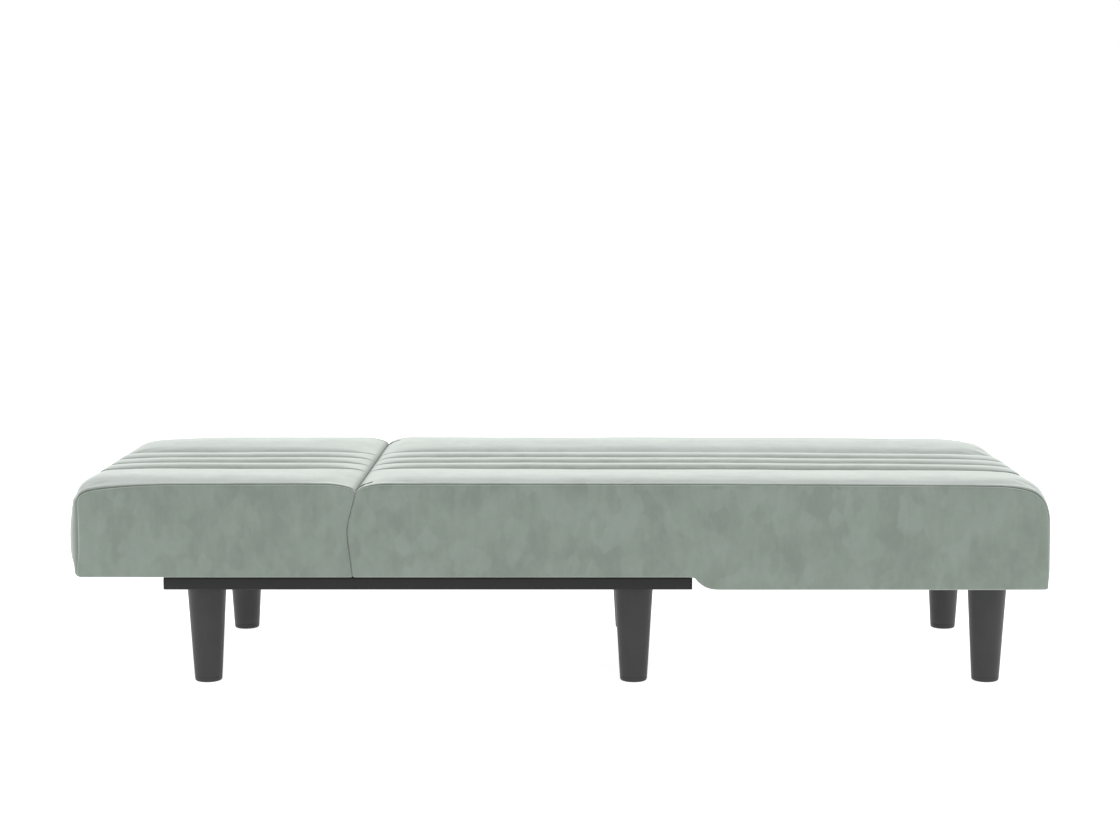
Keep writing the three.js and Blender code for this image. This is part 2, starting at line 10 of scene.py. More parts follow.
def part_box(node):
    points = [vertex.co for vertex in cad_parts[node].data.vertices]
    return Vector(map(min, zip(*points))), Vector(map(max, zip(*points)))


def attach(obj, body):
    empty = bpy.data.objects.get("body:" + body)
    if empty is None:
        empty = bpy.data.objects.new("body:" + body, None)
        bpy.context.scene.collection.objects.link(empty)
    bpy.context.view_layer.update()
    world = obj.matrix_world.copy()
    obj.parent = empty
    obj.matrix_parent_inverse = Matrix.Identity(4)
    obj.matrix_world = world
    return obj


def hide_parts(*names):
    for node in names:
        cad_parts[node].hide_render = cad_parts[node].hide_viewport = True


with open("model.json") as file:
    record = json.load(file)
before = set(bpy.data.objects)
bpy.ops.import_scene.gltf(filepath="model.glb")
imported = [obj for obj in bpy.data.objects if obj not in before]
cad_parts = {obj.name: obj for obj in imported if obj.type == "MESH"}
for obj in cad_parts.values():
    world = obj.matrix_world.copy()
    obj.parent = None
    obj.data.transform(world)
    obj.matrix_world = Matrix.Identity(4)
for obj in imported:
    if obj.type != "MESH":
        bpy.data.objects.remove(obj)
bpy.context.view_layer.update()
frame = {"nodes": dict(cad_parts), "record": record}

MM = 0.001
NEAR, FAR = -1, 1
SIDES = {"near": NEAR, "far": FAR}

# ---------------------------------------------------------------- places taken from the frame

SEAT_LOW, SEAT_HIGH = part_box("seat_cover")
HEAD_LOW, HEAD_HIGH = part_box("head_cover")
HALF_WIDTH = SEAT_HIGH.y
TOP_Z = SEAT_HIGH.z
LOW_Z = SEAT_LOW.z
SECTION_Z = HEAD_LOW.z


# ---------------------------------------------------------------- node helpers for materials

def new_material(name):
    material = bpy.data.materials.new(name)
    material.use_nodes = True
    tree = material.node_tree
    return material, tree, tree.nodes["Principled BSDF"]


def add_node(tree, kind, **inputs):
    node = tree.nodes.new(kind)
    for key, value in inputs.items():
        socket = node.inputs.get(key.replace("_", " "))
        if socket is not None:
            socket.default_value = value
        else:
            setattr(node, key, value)
    return node


def object_coordinates(tree, scale=(1, 1, 1)):
    place = tree.nodes.new("ShaderNodeTexCoord")
    mapping = add_node(tree, "ShaderNodeMapping", Scale=scale)
    tree.links.new(place.outputs["Object"], mapping.inputs["Vector"])
    return mapping.outputs["Vector"]


def noise_texture(tree, scale, detail=4.0, roughness=0.55, distortion=0.0, stretch=(1, 1, 1)):
    node = add_node(tree, "ShaderNodeTexNoise", Scale=scale, Detail=detail,
                    Roughness=roughness, Distortion=distortion)
    tree.links.new(object_coordinates(tree, stretch), node.inputs["Vector"])
    return node.outputs["Fac"]


def feed(tree, node, inputs):
    """Links or sets each of a node's inputs, given by name or number."""
    for name, value in inputs.items():
        if isinstance(value, bpy.types.NodeSocket):
            tree.links.new(value, node.inputs[name])
        else:
            node.inputs[name].default_value = value


def remap(tree, value, low, high, to_low, to_high):
    node = tree.nodes.new("ShaderNodeMapRange")
    feed(tree, node, {"Value": value, "From Min": low, "From Max": high,
                      "To Min": to_low, "To Max": to_high})
    return node.outputs["Result"]


def mix_colours(tree, factor, first, second):
    node = add_node(tree, "ShaderNodeMix", data_type="RGBA")
    tree.links.new(factor, node.inputs["Factor"])
    colour_inputs = [s for s in node.inputs if s.type == "RGBA"]
    for socket, value in zip(colour_inputs, (first, second)):
        if isinstance(value, bpy.types.NodeSocket):
            tree.links.new(value, socket)
        else:
            socket.default_value = (*value, 1)
    return [s for s in node.outputs if s.type == "RGBA"][0]


def add_bump(tree, shader, height, strength, distance):
    bump = add_node(tree, "ShaderNodeBump", Strength=strength, Distance=distance)
    tree.links.new(height, bump.inputs["Height"])
    tree.links.new(bump.outputs["Normal"], shader.inputs["Normal"])


def maths(tree, operation, first, second):
    node = add_node(tree, "ShaderNodeMath", operation=operation)
    feed(tree, node, {0: first, 1: second})
    return node.outputs[0]


def weighted(tree, *terms):
    """The sum of the terms, each of them a value and its weight."""
    scaled = [maths(tree, "MULTIPLY", value, weight) for value, weight in terms]
    total = scaled[0]
    for term in scaled[1:]:
        total = maths(tree, "ADD", total, term)
    return total


# ---------------------------------------------------------------- materials

VELVET = (0.21, 0.248, 0.216)
VELVET_LIGHT = (0.229, 0.269, 0.237)
VELVET_DARK = (0.187, 0.221, 0.192)
# Painted light on the level top, then painted shade in the folds and on the end faces:
TOP_PAINTED_LIGHT = 1.3
FOLD_SHADE = 0.57
END_SHADE = 0.86
SHEEN = 0.8


def velvet_tone(tree):
    """Small brushed patches over slow clouds and upright streaks, as one value."""
    warp = add_node(tree, "ShaderNodeTexNoise", Scale=60.0, Detail=3.0)
    place = object_coordinates(tree, (1.0, 1.0, 0.62))
    tree.links.new(place, warp.inputs["Vector"])
    nudge = add_node(tree, "ShaderNodeVectorMath", operation="MULTIPLY_ADD")
    feed(tree, nudge, {0: warp.outputs["Color"], 1: (0.016, 0.016, 0.016), 2: place})
    cells = add_node(tree, "ShaderNodeTexVoronoi", feature="SMOOTH_F1", Scale=52.0, Smoothness=0.3)
    tree.links.new(nudge.outputs[0], cells.inputs["Vector"])
    split = tree.nodes.new("ShaderNodeSeparateColor")
    tree.links.new(cells.outputs["Color"], split.inputs["Color"])
    clouds = noise_texture(tree, 13.0, 6.0, 0.65)
    streaks = noise_texture(tree, 90.0, 4.0, 0.65, 0.0, (1.0, 1.0, 0.3))
    return weighted(tree, (clouds, 0.6), (streaks, 0.25), (split.outputs["Red"], 0.15))


def velvet_painted_light(tree, normal):
    """Painted light and shade by the way the surface faces: painted light where the top is level or
    leans to the far side, painted shade on a gentle near slope, and painted light again on the steep
    near edge."""
    level = remap(tree, normal["Z"], 0.55, 0.98, 0.0, TOP_PAINTED_LIGHT - 1)
    slope = remap(tree, normal["Y"], -0.09, -0.002, -0.8, 1.0)
    edge = remap(tree, normal["Y"], -0.45, -0.2, 0.8, -1.0)
    painted_by_lean = maths(tree, "MAXIMUM", slope, edge)
    return maths(tree, "ADD", maths(tree, "MULTIPLY", level, painted_by_lean), 1.0)


def velvet_shade(tree, normal):
    """Painted shade: the folds, which the covers mark with an attribute, and the end faces are
    darker.
    """
    painted_shade = add_node(tree, "ShaderNodeAttribute", attribute_name="painted_shade")
    in_painted_shade = remap(tree, painted_shade.outputs["Fac"], 0.0, 1.0, 1.0, 1.0 - FOLD_SHADE)
    # Painted shade on the end faces, by how far the normal points along x.
    to_end = maths(tree, "ABSOLUTE", normal["X"], 0.0)
    return maths(tree, "MULTIPLY", in_painted_shade, remap(tree, to_end, 0.7, 1.0, 1.0, END_SHADE))


def velvet_material():
    """Short pile with brushed patches and a soft sheen, with painted light on the padded top and
    painted shade in its folds.
    """
    material, tree, shader = new_material("velvet")
    tone = velvet_tone(tree)
    dark = mix_colours(tree, remap(tree, tone, 0.38, 0.5, 0, 1), VELVET_DARK, VELVET)
    colour = mix_colours(tree, remap(tree, tone, 0.5, 0.62, 0, 1), dark, VELVET_LIGHT)
    facing = tree.nodes.new("ShaderNodeTexCoord")
    parts = tree.nodes.new("ShaderNodeSeparateXYZ")
    tree.links.new(facing.outputs["Normal"], parts.inputs["Vector"])
    painted_light_factor = velvet_painted_light(tree, parts.outputs)
    shade = velvet_shade(tree, parts.outputs)
    # The colour is scaled by the painted light and the painted shade.
    lift = add_node(tree, "ShaderNodeVectorMath", operation="SCALE")
    feed(tree, lift, {0: colour, "Scale": maths(tree, "MULTIPLY", painted_light_factor, shade)})
    feed(tree, shader, {
        "Base Color": lift.outputs[0],
        "Roughness": remap(tree, tone, 0.4, 0.6, 0.95, 0.85),
        "Sheen Weight": maths(tree, "MULTIPLY", shade, SHEEN),
        "Sheen Roughness": 0.45,
        "Sheen Tint": (0.97, 1.0, 0.975, 1),
        "Specular IOR Level": 0.1,
    })
    pile = noise_texture(tree, 950.0, 3.0, 0.7)
    brushed = noise_texture(tree, 75.0, 3.0, 0.6, 0.0, (1.0, 1.0, 0.45))
    add_bump(tree, shader, weighted(tree, (pile, 0.4), (brushed, 1.0)), 0.25, 0.001)
    return material


def leg_material():
    """Black moulded plastic with a fine vertical grain and a satin face."""
    material, tree, shader = new_material("leg_plastic")
    grain = noise_texture(tree, 420.0, 3.0, 0.6, 0.0, (1.0, 1.0, 0.08))
    cloud = noise_texture(tree, 24.0, 3.0, 0.5)
    colour = mix_colours(tree, cloud, (0.032, 0.032, 0.033), (0.042, 0.042, 0.043))
    roughness = remap(tree, grain, 0.3, 0.7, 0.38, 0.52)
    feed(tree, shader, {"Base Color": colour, "Roughness": roughness, "Specular IOR Level": 0.3})
    add_bump(tree, shader, grain, 0.12, 0.0006)
    return material


def black_steel_material():
    """Powder-coated steel: near black, with the fine orange-peel of the coat."""
    material, tree, shader = new_material("black_steel")
    peel = noise_texture(tree, 700.0, 2.0, 0.5)
    cloud = noise_texture(tree, 18.0, 3.0, 0.5)
    colour = mix_colours(tree, cloud, (0.013, 0.013, 0.0135), (0.018, 0.018, 0.0185))
    roughness = remap(tree, cloud, 0.3, 0.7, 0.38, 0.46)
    feed(tree, shader, {"Base Color": colour, "Roughness": roughness, "Specular IOR Level": 0.22})
    add_bump(tree, shader, peel, 0.16, 0.0004)
    return material


def zinc_material(name="zinc_steel", tone=0.5):
    """Zinc-plated pressed steel with a faint rolled grain and cloudy plating."""
    material, tree, shader = new_material(name)
    cloud = noise_texture(tree, 45.0, 4.0, 0.6, 0.4)
    grain = noise_texture(tree, 300.0, 2.0, 0.5, 0.0, (0.12, 1.0, 1.0))
    colour = mix_colours(tree, cloud, (tone, tone, tone * 0.97),
                         (tone * 1.3, tone * 1.29, tone * 1.24))
    roughness = remap(tree, grain, 0.3, 0.7, 0.3, 0.45)
    feed(tree, shader, {"Base Color": colour, "Roughness": roughness, "Metallic": 1.0})
    add_bump(tree, shader, grain, 0.1, 0.0003)
    return material


def timber_material():
    """Planed softwood: long growth rings along the rail and a matt face."""
    material, tree, shader = new_material("timber")
    rings = add_node(tree, "ShaderNodeTexWave", Scale=9.0, Distortion=5.0, Detail=3.0,
                     Detail_Scale=1.4)
    tree.links.new(object_coordinates(tree, (0.6, 6.0, 6.0)), rings.inputs["Vector"])
    fibre = noise_texture(tree, 160.0, 4.0, 0.6, 0.0, (0.06, 1.0, 1.0))
    grain = weighted(tree, (rings.outputs["Fac"], 0.6), (fibre, 0.4))
    colour = mix_colours(tree, grain, (0.33, 0.19, 0.09), (0.6, 0.41, 0.23))
    feed(tree, shader, {"Base Color": colour, "Roughness": 0.68})
    add_bump(tree, shader, fibre, 0.2, 0.0005)
    return material


def foam_material():
    """Open-cell cushion foam, cream, with visible cells."""
    material, tree, shader = new_material("foam")
    cells = add_node(tree, "ShaderNodeTexVoronoi", Scale=420.0)
    tree.links.new(object_coordinates(tree), cells.inputs["Vector"])
    colour = mix_colours(tree, noise_texture(tree, 20.0), (0.72, 0.64, 0.42), (0.82, 0.76, 0.56))
    feed(tree, shader, {"Base Color": colour, "Roughness": 0.95})
    add_bump(tree, shader, cells.outputs["Distance"], 0.5, 0.001)
    return material


def lining_material():
    """Black non-woven lining: bonded fibres with a dimpled emboss."""
    material, tree, shader = new_material("underside_lining")
    dimples = add_node(tree, "ShaderNodeTexVoronoi", Scale=330.0)
    tree.links.new(object_coordinates(tree), dimples.inputs["Vector"])
    fibres = noise_texture(tree, 260.0, 5.0, 0.7)
    colour = mix_colours(tree, fibres, (0.012, 0.012, 0.013), (0.034, 0.034, 0.036))
    feed(tree, shader, {"Base Color": colour, "Roughness": 0.9})
    height = maths(tree, "ADD", dimples.outputs["Distance"], fibres)
    add_bump(tree, shader, height, 0.35, 0.0006)
    return material


MATERIALS = {
    "velvet": velvet_material(),
    "black_plastic": leg_material(),
    "black_steel": black_steel_material(),
    "zinc_steel": zinc_material(),
    "spring_steel": zinc_material("spring_steel", 0.34),
    "timber": timber_material(),
    "foam": foam_material(),
    "underside_lining": lining_material(),
}


# ---------------------------------------------------------------- mesh helpers

def make_object(name, vertices, faces, slot, smooth=True):
    mesh = bpy.data.meshes.new(name)
    mesh.from_pydata([tuple(v) for v in vertices], [], [tuple(f) for f in faces])
    mesh.update()
    piece = bpy.data.objects.new(name, mesh)
    bpy.context.scene.collection.objects.link(piece)
    if slot:
        mesh.materials.append(MATERIALS[slot])
    for polygon in mesh.polygons:
        polygon.use_smooth = smooth
    return piece


def face_outwards(piece):
    work = bmesh.new()
    work.from_mesh(piece.data)
    bmesh.ops.recalc_face_normals(work, faces=work.faces)
    work.to_mesh(piece.data)
    work.free()


def finish_piece(piece, body, node=None):
    """Turns the faces outwards, puts the piece on its body and hides the node that it replaces, if
    any.
    """
    face_outwards(piece)
    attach(piece, body)
    if node:
        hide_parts(node)


def rings_to_mesh(rings, closed):
    """Faces between rings of equal length. A closed series joins its last ring to its first."""
    vertices = [p for ring in rings for p in ring]
    count = len(rings[0])
    faces = []
    for r in range(len(rings) if closed else len(rings) - 1):
        a, b = r * count, ((r + 1) % len(rings)) * count
        faces += [(a + i, a + (i + 1) % count, b + (i + 1) % count, b + i) for i in range(count)]
    if not closed:
        faces.append(tuple(range(count)))
        faces.append(tuple(range((len(rings) - 1) * count, len(rings) * count)))
    return vertices, faces


def smoothstep(value, low, high):
    t = np.clip((value - low) / (high - low), 0, 1)
    return t * t * (3 - 2 * t)


def straight(start, end, pitch):
    """Points from start up to, but without, end, about pitch apart."""
    start, end = np.array(start, float), np.array(end, float)
    count = max(1, round(float(np.linalg.norm(end - start)) / pitch))
    return [tuple(start + (end - start) * i / count) for i in range(count)]


def ellipse_arc(centre, radius_u, radius_z, from_angle, to_angle, count):
    """Points of an arc, without its last one. Angles are in degrees, from +u towards +z."""
    points = []
    for i in range(count):
        angle = math.radians(from_angle + (to_angle - from_angle) * i / count)
        points.append((centre[0] + radius_u * math.cos(angle),
                       centre[1] + radius_z * math.sin(angle)))
    return points


def bow(start, control, end, count):
    """Points of a curve from start to end, bowed towards control, without its last one."""
    a, b, c = (np.array(p, float) for p in (start, control, end))
    steps = np.arange(count) / count
    return [tuple(a * (1 - t) ** 2 + 2 * b * t * (1 - t) + c * t * t) for t in steps]


# ---------------------------------------------------------------- cushions

SEAM_DROP = 5.8 * MM
PANEL_INSET = 1.5 * MM
# Outlines of the outer ends, from the foot of the end up and over to the level top: how far
# inside the section's length, and the height. The side panels follow the first of each pair.
# The padding between them fills out to the second.
SEAT_END_SEAM = [
    (-0.4, 156.5), (-0.8, 175), (0.3, 200), (1.2, 228), (2.2, 254), (4.6, 269), (9.6, 280.5),
    (18, 289.2), (30, 295.6), (50, 300), (75, 302.2), (105, 303),
]
SEAT_END_MIDDLE = [
    (-1, 156.5), (-5.2, 175), (-6.2, 200), (-6.5, 228), (-6.4, 254), (-5, 271), (-2.4, 283),
    (1.8, 291.6), (10, 297), (27, 300.2), (60, 301.9), (105, 302.6),
]
HEAD_END_SEAM = [
    (6.2, 180), (8.4, 195), (10, 214), (10.2, 238), (10, 260), (9.4, 274), (10.6, 284.5),
    (15.5, 291), (26.5, 295.4), (46.5, 299), (82, 302.4), (135, 305.2),
]
HEAD_END_MIDDLE = [
    (-4.5, 180), (-10, 195), (-11.6, 214), (-11.4, 238), (-9.4, 259), (-7.4, 273), (-5.4, 284),
    (-3, 294.6), (4.4, 301.6), (24, 304.2), (72, 305.2), (135, 305.6),
]
CROWN_START = 350 * MM
DISH = 2.8 * MM
END_ROWS = 4
END_PULL = 6 * MM
FILL_WIDTH = 18 * MM
CREASE_LENGTH = 42 * MM
CREASE_DROP = 12 * MM
CREASE_LEAN = [
    (170, -4.5), (185, -6), (205, -8.5), (225, -11), (240, -11.6), (255, -9.2), (270, -5),
    (284, -1.4), (297, 1.2), (310, 1.5),
]
CREASE_FILL = 0.35 * MM
CORNER_RADIUS = 4 * MM
STEP_START = 192 * MM
STEP_END = 226 * MM
TOP_PITCH = 8.5 * MM
UNDER_PITCH = 13 * MM
CHANNEL = 61.4 * MM
NARROW_PUFF = 2.7 * MM
WIDE_PUFF = 4.6 * MM
GROOVE_DEPTH = 2.6 * MM
GROOVE_WIDTH = 1.7 * MM
CORNER_DEPTH = 18 * MM
SIDE_SWELL = 1.3 * MM
SIDE_MIDDLE_Z = 238 * MM
SIDE_HALF_HEIGHT = 70 * MM
HEM = 24 * MM
HEM_Y = 250 * MM
RECESS = 2.2 * MM
LIP = 0.6 * MM
POCKET_INNER = 236.4 * MM
POCKET_OUTER = 250.2 * MM
SLIT_INNER = 239 * MM
SLIT_OUTER = 244.3 * MM
POCKET_TOP = 298.9 * MM
SLIT_TOP = 303 * MM
HEAD_POCKET_TOP = 290 * MM
POCKET_BOTTOM = 176 * MM
SEAT_POCKET = 86 * MM
HEAD_POCKET = 58 * MM


def through(points, steps):
    """A smooth curve through the points, with the same number of steps between each pair."""
    p = np.array(points, float) * MM
    p = np.vstack([2 * p[0] - p[1], p, 2 * p[-1] - p[-2]])
    curve = []
    for before, start, end, after in zip(p, p[1:], p[2:], p[3:]):
        for t in np.arange(steps) / steps:
            curve.append(0.5 * (2 * start + (end - before) * t
                                + (2 * before - 5 * start + 4 * end - after) * t ** 2
                                + (3 * start - before - 3 * end + after) * t ** 3))
    return curve


def section_loop(crease_x, end_x, stepped, end_points):
    """The section's closed outline seen from the side, as rows of (x, z), with u measured from
    the crease to the outer end. It starts at the foot of the outer end and goes up and over."""
    length = abs(end_x - crease_x)
    direction = 1 if end_x > crease_x else -1
    top = TOP_Z - SEAM_DROP
    low = LOW_Z if stepped else SECTION_Z
    r = CORNER_RADIUS
    crease_z = top - CREASE_DROP
    end = through(end_points, END_ROWS)
    foot_u, foot_z = length - end[0][0], end[0][1]
    points = ellipse_arc((foot_u - r, foot_z), r, foot_z - low, -90, 0, 4)
    points += [(length - inside, z) for inside, z in end]
    points += straight((length - end_points[-1][0] * MM, top), (CREASE_LENGTH, top), TOP_PITCH)
    points += ellipse_arc((CREASE_LENGTH, crease_z), CREASE_LENGTH, top - crease_z, 90, 180, 13)
    points += straight((0, crease_z), (0, SECTION_Z + r / 2), 7 * MM)
    points += ellipse_arc((r, SECTION_Z + r / 2), r, r / 2, 180, 270, 4)
    points += [(r, SECTION_Z), (HEM, SECTION_Z)]
    hem_end = length - HEM - END_PULL
    if stepped:
        start, end_of_step = STEP_START - crease_x, STEP_END - crease_x
        bend = start + (end_of_step - start) / 3
        points += straight((HEM + LIP, SECTION_Z), (start, SECTION_Z), UNDER_PITCH)
        points += bow((start, SECTION_Z), (bend, low), (end_of_step, low), 8)
        points += straight((end_of_step, low), (hem_end - LIP, low), UNDER_PITCH)
    else:
        points += straight((HEM + LIP, SECTION_Z), (hem_end - LIP, SECTION_Z), UNDER_PITCH)
    points += [(hem_end - LIP, low), (hem_end, low)]
    loop = np.array(points)
    level = loop[:, 1] > top - 0.01 * MM
    end_of_top = length - end_points[-1][0] * MM
    along = np.clip((loop[:, 0] - CROWN_START) / (end_of_top - CROWN_START), 0, 1)
    if stepped:
        loop[:, 1] -= np.where(level, (top - end_points[-1][1] * MM) * along ** 1.6, 0)
    loop[:, 0] = crease_x + direction * loop[:, 0]
    return loop if direction > 0 else loop[::-1]


def loop_normals(loop):
    """Outward normals of a closed outline that runs anticlockwise in x and z."""
    along = np.roll(loop, -1, 0) - np.roll(loop, 1, 0)
    normals = np.stack([along[:, 1], -along[:, 0]], 1)
    return normals / np.linalg.norm(normals, axis=1, keepdims=True)


# From the top panel round the edge to the side panel: distance in from the side, and height
# above the outline. The seamed edge has a roll, a groove and the lip of the side panel; the
# one in the crease and the plain one, along the bottom, are only rounded.
SEAMED_EDGE = [
    (18, 1.9), (14, 1.9), (11, 1.7), (8.6, 1.1), (7.1, 0.2), (6.0, -1.1), (5.1, -1.7),
    (4.3, -0.9), (3.2, 0.0), (1.9, -0.2), (0.8, -1.1), (0.15, -2.4), (0, -3.1), (0, -3.6),
]
CREASE_EDGE = [
    (18, 0), (14, 0), (11, 0), (8.6, 0), (7.1, 0), (6.0, 0), (5.1, 0),
    (4.2, 0), (3.2, 0), (2.0, -0.05), (1.0, -0.35), (0.3, -1.1), (0, -2.3), (0, -3.6),
]
PLAIN_EDGE = [
    (18, 0), (14, 0), (11, 0), (8.6, 0), (7.0, 0), (5.4, -0.05), (4.1, -0.15),
    (2.9, -0.4), (1.9, -0.8), (1.1, -1.3), (0.5, -1.9), (0.1, -2.6), (0, -3.1), (0, -3.6),
]


def strip_columns():
    """Positions across the top panel, close together where a seam or a hinge pocket needs it."""
    half = HALF_WIDTH - PANEL_INSET - CORNER_DEPTH
    seams = [-1.5 * CHANNEL, -0.5 * CHANNEL, 0.5 * CHANNEL, 1.5 * CHANNEL]
    columns = [-half, half]
    for side in (NEAR, FAR):
        for y in (POCKET_INNER, SLIT_INNER):
            columns += [side * y, side * (y - LIP)]
        for y in (SLIT_OUTER, POCKET_OUTER, HEM_Y):
            columns += [side * y, side * (y + LIP)]
    for seam in seams:
        columns += [seam + offset * MM for offset in (-3.2, -1.7, -0.7, 0, 0.7, 1.7, 3.2)]
    edges = [-POCKET_INNER, *seams, POCKET_INNER]
    for start, end in zip(edges, edges[1:]):
        wide = end - start > 2 * CHANNEL
        count = 18 if wide else 9
        inner = np.linspace(start + 7 * MM, end - 7 * MM, count)
        columns += list(inner)
    return sorted(columns), seams


def puff(y, seams):
    """Height of the padded strips above the outline, from one seam to the next."""
    outer = HALF_WIDTH - PANEL_INSET
    edges = np.array([-outer, *seams, outer])
    index = np.clip(np.searchsorted(edges, y) - 1, 0, len(edges) - 2)
    left, right = edges[index], edges[index + 1]
    t = np.clip((y - left) / (right - left), 0, 1)
    wide = (right - left) > 2 * CHANNEL
    outer_side = (t < 0.5) == (y < 0)
    wide_arch = np.where(outer_side, np.sin(np.pi * t) ** 1.1, (4 * t * (1 - t)) ** 0.75)
    arch = np.where(wide, wide_arch, (1 - np.abs(2 * t - 1) ** 2.4) ** 0.7)
    height = np.where(wide, WIDE_PUFF, NARROW_PUFF) * arch
    dish = smoothstep(outer - np.abs(y), 20 * MM, 150 * MM)
    height = height - DISH * dish
    nearest = np.min(np.abs(y[..., None] - np.array(seams)), -1)
    return height - GROOVE_DEPTH * np.exp(-(nearest / GROOVE_WIDTH) ** 2)


LEAN_CURVE = np.array(through(CREASE_LEAN, 6))


def crease_shift(z):
    """The crease leans: at mid height it lies nearer the head end than at its top."""
    return np.interp(z, LEAN_CURVE[:, 0], LEAN_CURVE[:, 1])


class Skin:
    """A closed skin that is being built: rows round the section and a panel on each side."""

    def __init__(self, crease_x, end_x, stepped):
        self.crease_x, self.end_x = crease_x, end_x
        self.direction = 1 if end_x > crease_x else -1
        seam, middle = HEAD_END_SEAM, HEAD_END_MIDDLE
        if stepped:
            seam, middle = SEAT_END_SEAM, SEAT_END_MIDDLE
        self.loop = section_loop(crease_x, end_x, stepped, seam)
        self.full_loop = section_loop(crease_x, end_x, stepped, middle)
        self.normals = loop_normals(self.loop)
        self.full_normals = loop_normals(self.full_loop)
        self.painted_shades = []
        self.columns, self.seams = strip_columns()
        self.vertices, self.faces, self.pinned = [], [], []
        self.u = np.abs(self.loop[:, 0] - crease_x)
        self.under = smoothstep(-self.normals[:, 1], 0.35, 0.9)
        self.fullness = self.measure_fullness()

    def measure_fullness(self):
        length = abs(self.end_x - self.crease_x)
        z = self.loop[:, 1]
        on_end = self.u > length - 60 * MM
        end_fade = np.where(on_end, smoothstep(z, LOW_Z + 18 * MM, LOW_Z + 60 * MM), 1)
        crease_fade = 0.04 + 0.96 * smoothstep(self.u, 2 * MM, 44 * MM)
        end_thin = 1 - 0.4 * smoothstep(self.u, length - 50 * MM, length - 10 * MM)
        return (1 - self.under) * (0.35 + 0.65 * end_fade) * end_thin * crease_fade

    def in_hem_opening(self, row, y):
        length = abs(self.end_x - self.crease_x)
        u = self.u[row]
        inside_length = HEM + LIP / 2 < u < length - HEM - END_PULL - LIP / 2
        return self.under[row] > 0.5 and inside_length and abs(y) < HEM_Y + LIP / 2

    def place(self, row, y, out, pinned, painted_shade=0.0):
        if self.in_hem_opening(row, y):
            out = -RECESS
        inside = max(0.0, HALF_WIDTH - PANEL_INSET - abs(y) - 3 * MM)
        upward = smoothstep(self.normals[row, 1], 0.05, 0.6)
        full = 1 - math.exp(-inside / (FILL_WIDTH * (1 + upward)))
        base = self.loop[row] * (1 - full) + self.full_loop[row] * full
        normal = self.normals[row] * (1 - full) + self.full_normals[row] * full
        x, z = base + normal / np.linalg.norm(normal) * out
        if self.in_pocket(row, y):
            depth = SEAT_POCKET if self.direction > 0 else HEAD_POCKET
            x = self.crease_x + self.direction * depth
            pinned = True
        else:
            near_crease = 1 - smoothstep(self.u[row], 0, 45 * MM)
            x += crease_shift(z) * near_crease - self.direction * CREASE_FILL * near_crease ** 8
            x += self.hem_spread(row, y)
        self.vertices.append((x, y, z))
        self.pinned.append(pinned)
        # Painted shade: the seams' weight is less where the surface faces less upward and none on the
        # crease faces, which get painted shade of their own inside the sides; the underside gets
        # none.
        on_crease = 1 - smoothstep(self.u[row], 0.5 * MM, 9 * MM)
        upward = smoothstep(self.normals[row, 1], 0.1, 0.8)
        painted_shade *= (0.35 + 0.65 * upward) * (1 - on_crease)
        if abs(y) < HALF_WIDTH - PANEL_INSET - 9 * MM:
            painted_shade = max(painted_shade, 0.6 * on_crease)
        self.painted_shades.append(float(painted_shade * (1 - self.under[row])))
        return len(self.vertices) - 1

    def hem_spread(self, row, y):
        """Outside the hem's opening the two close rows of its edge are spread apart."""
        length = abs(self.end_x - self.crease_x)
        beyond = smoothstep(abs(y), HEM_Y + 2 * LIP, HEM_Y + 12 * MM)
        if self.under[row] < 0.5 or beyond == 0:
            return 0.0
        if abs(self.u[row] - HEM - LIP) < LIP / 4:
            return self.direction * UNDER_PITCH / 2 * beyond
        if abs(self.u[row] - (length - HEM - END_PULL - LIP)) < LIP / 4:
            return -self.direction * UNDER_PITCH / 2 * beyond
        return 0.0

    def in_pocket(self, row, y):
        z = self.loop[row, 1]
        top, slit_top = POCKET_TOP, SLIT_TOP
        if self.direction < 0:
            top = slit_top = HEAD_POCKET_TOP
        wide = POCKET_INNER - LIP / 4 < abs(y) < POCKET_OUTER + LIP / 4 and z < top
        slit = SLIT_INNER - LIP / 4 < abs(y) < SLIT_OUTER + LIP / 4 and z < slit_top
        return (wide or slit) and self.u[row] < CREASE_LENGTH and z > POCKET_BOTTOM

    def edge_profile(self, row):
        seamed, plain = np.array(SEAMED_EDGE) * MM, np.array(PLAIN_EDGE) * MM
        closed = 1 - smoothstep(self.u[row], 0.3 * MM, 6 * MM)
        seamed = seamed * (1 - closed) + np.array(CREASE_EDGE) * MM * closed
        blend = self.under[row]
        profile = seamed * (1 - blend) + plain * blend
        scale = 0.55 * self.fullness[row] + 0.45 if blend < 0.5 else 1
        return [(y, out * (scale if out > 0 else 1)) for y, out in profile]

    def build_rows(self):
        side_y = HALF_WIDTH - PANEL_INSET
        columns = np.array(self.columns)
        heights = puff(columns, self.seams)
        to_seam = np.min(np.abs(columns[:, None] - np.array(self.seams)), 1)
        # Painted shade along the seams of the top.
        painted_shades = np.exp(-(to_seam / (2.7 * MM)) ** 2)
        grid = []
        for row in range(len(self.loop)):
            edge = [(y, out, edge_painted_shade(y)) for y, out in self.edge_profile(row)]
            held = self.under[row] > 0.2 or self.u[row] < 30 * MM
            line = [self.place(row, -(side_y - d), out, True, f) for d, out, f in edge[:0:-1]]
            lift = self.fullness[row]
            for y, height, distance, painted_shade in zip(columns, heights, to_seam, painted_shades):
                line.append(self.place(row, y, height * lift, held or distance < 1 * MM, painted_shade))
            line += [self.place(row, side_y - d, out, True, f) for d, out, f in edge[1:]]
            grid.append(line)
        for row, here in enumerate(grid):
            after = grid[(row + 1) % len(grid)]
            for a, b, c, d in zip(here, here[1:], after[1:], after):
                self.faces.append((a, b, c, d))
        for side, column in ((NEAR, 0), (FAR, -1)):
            self.add_side_panel([line[column] for line in grid], side * side_y)

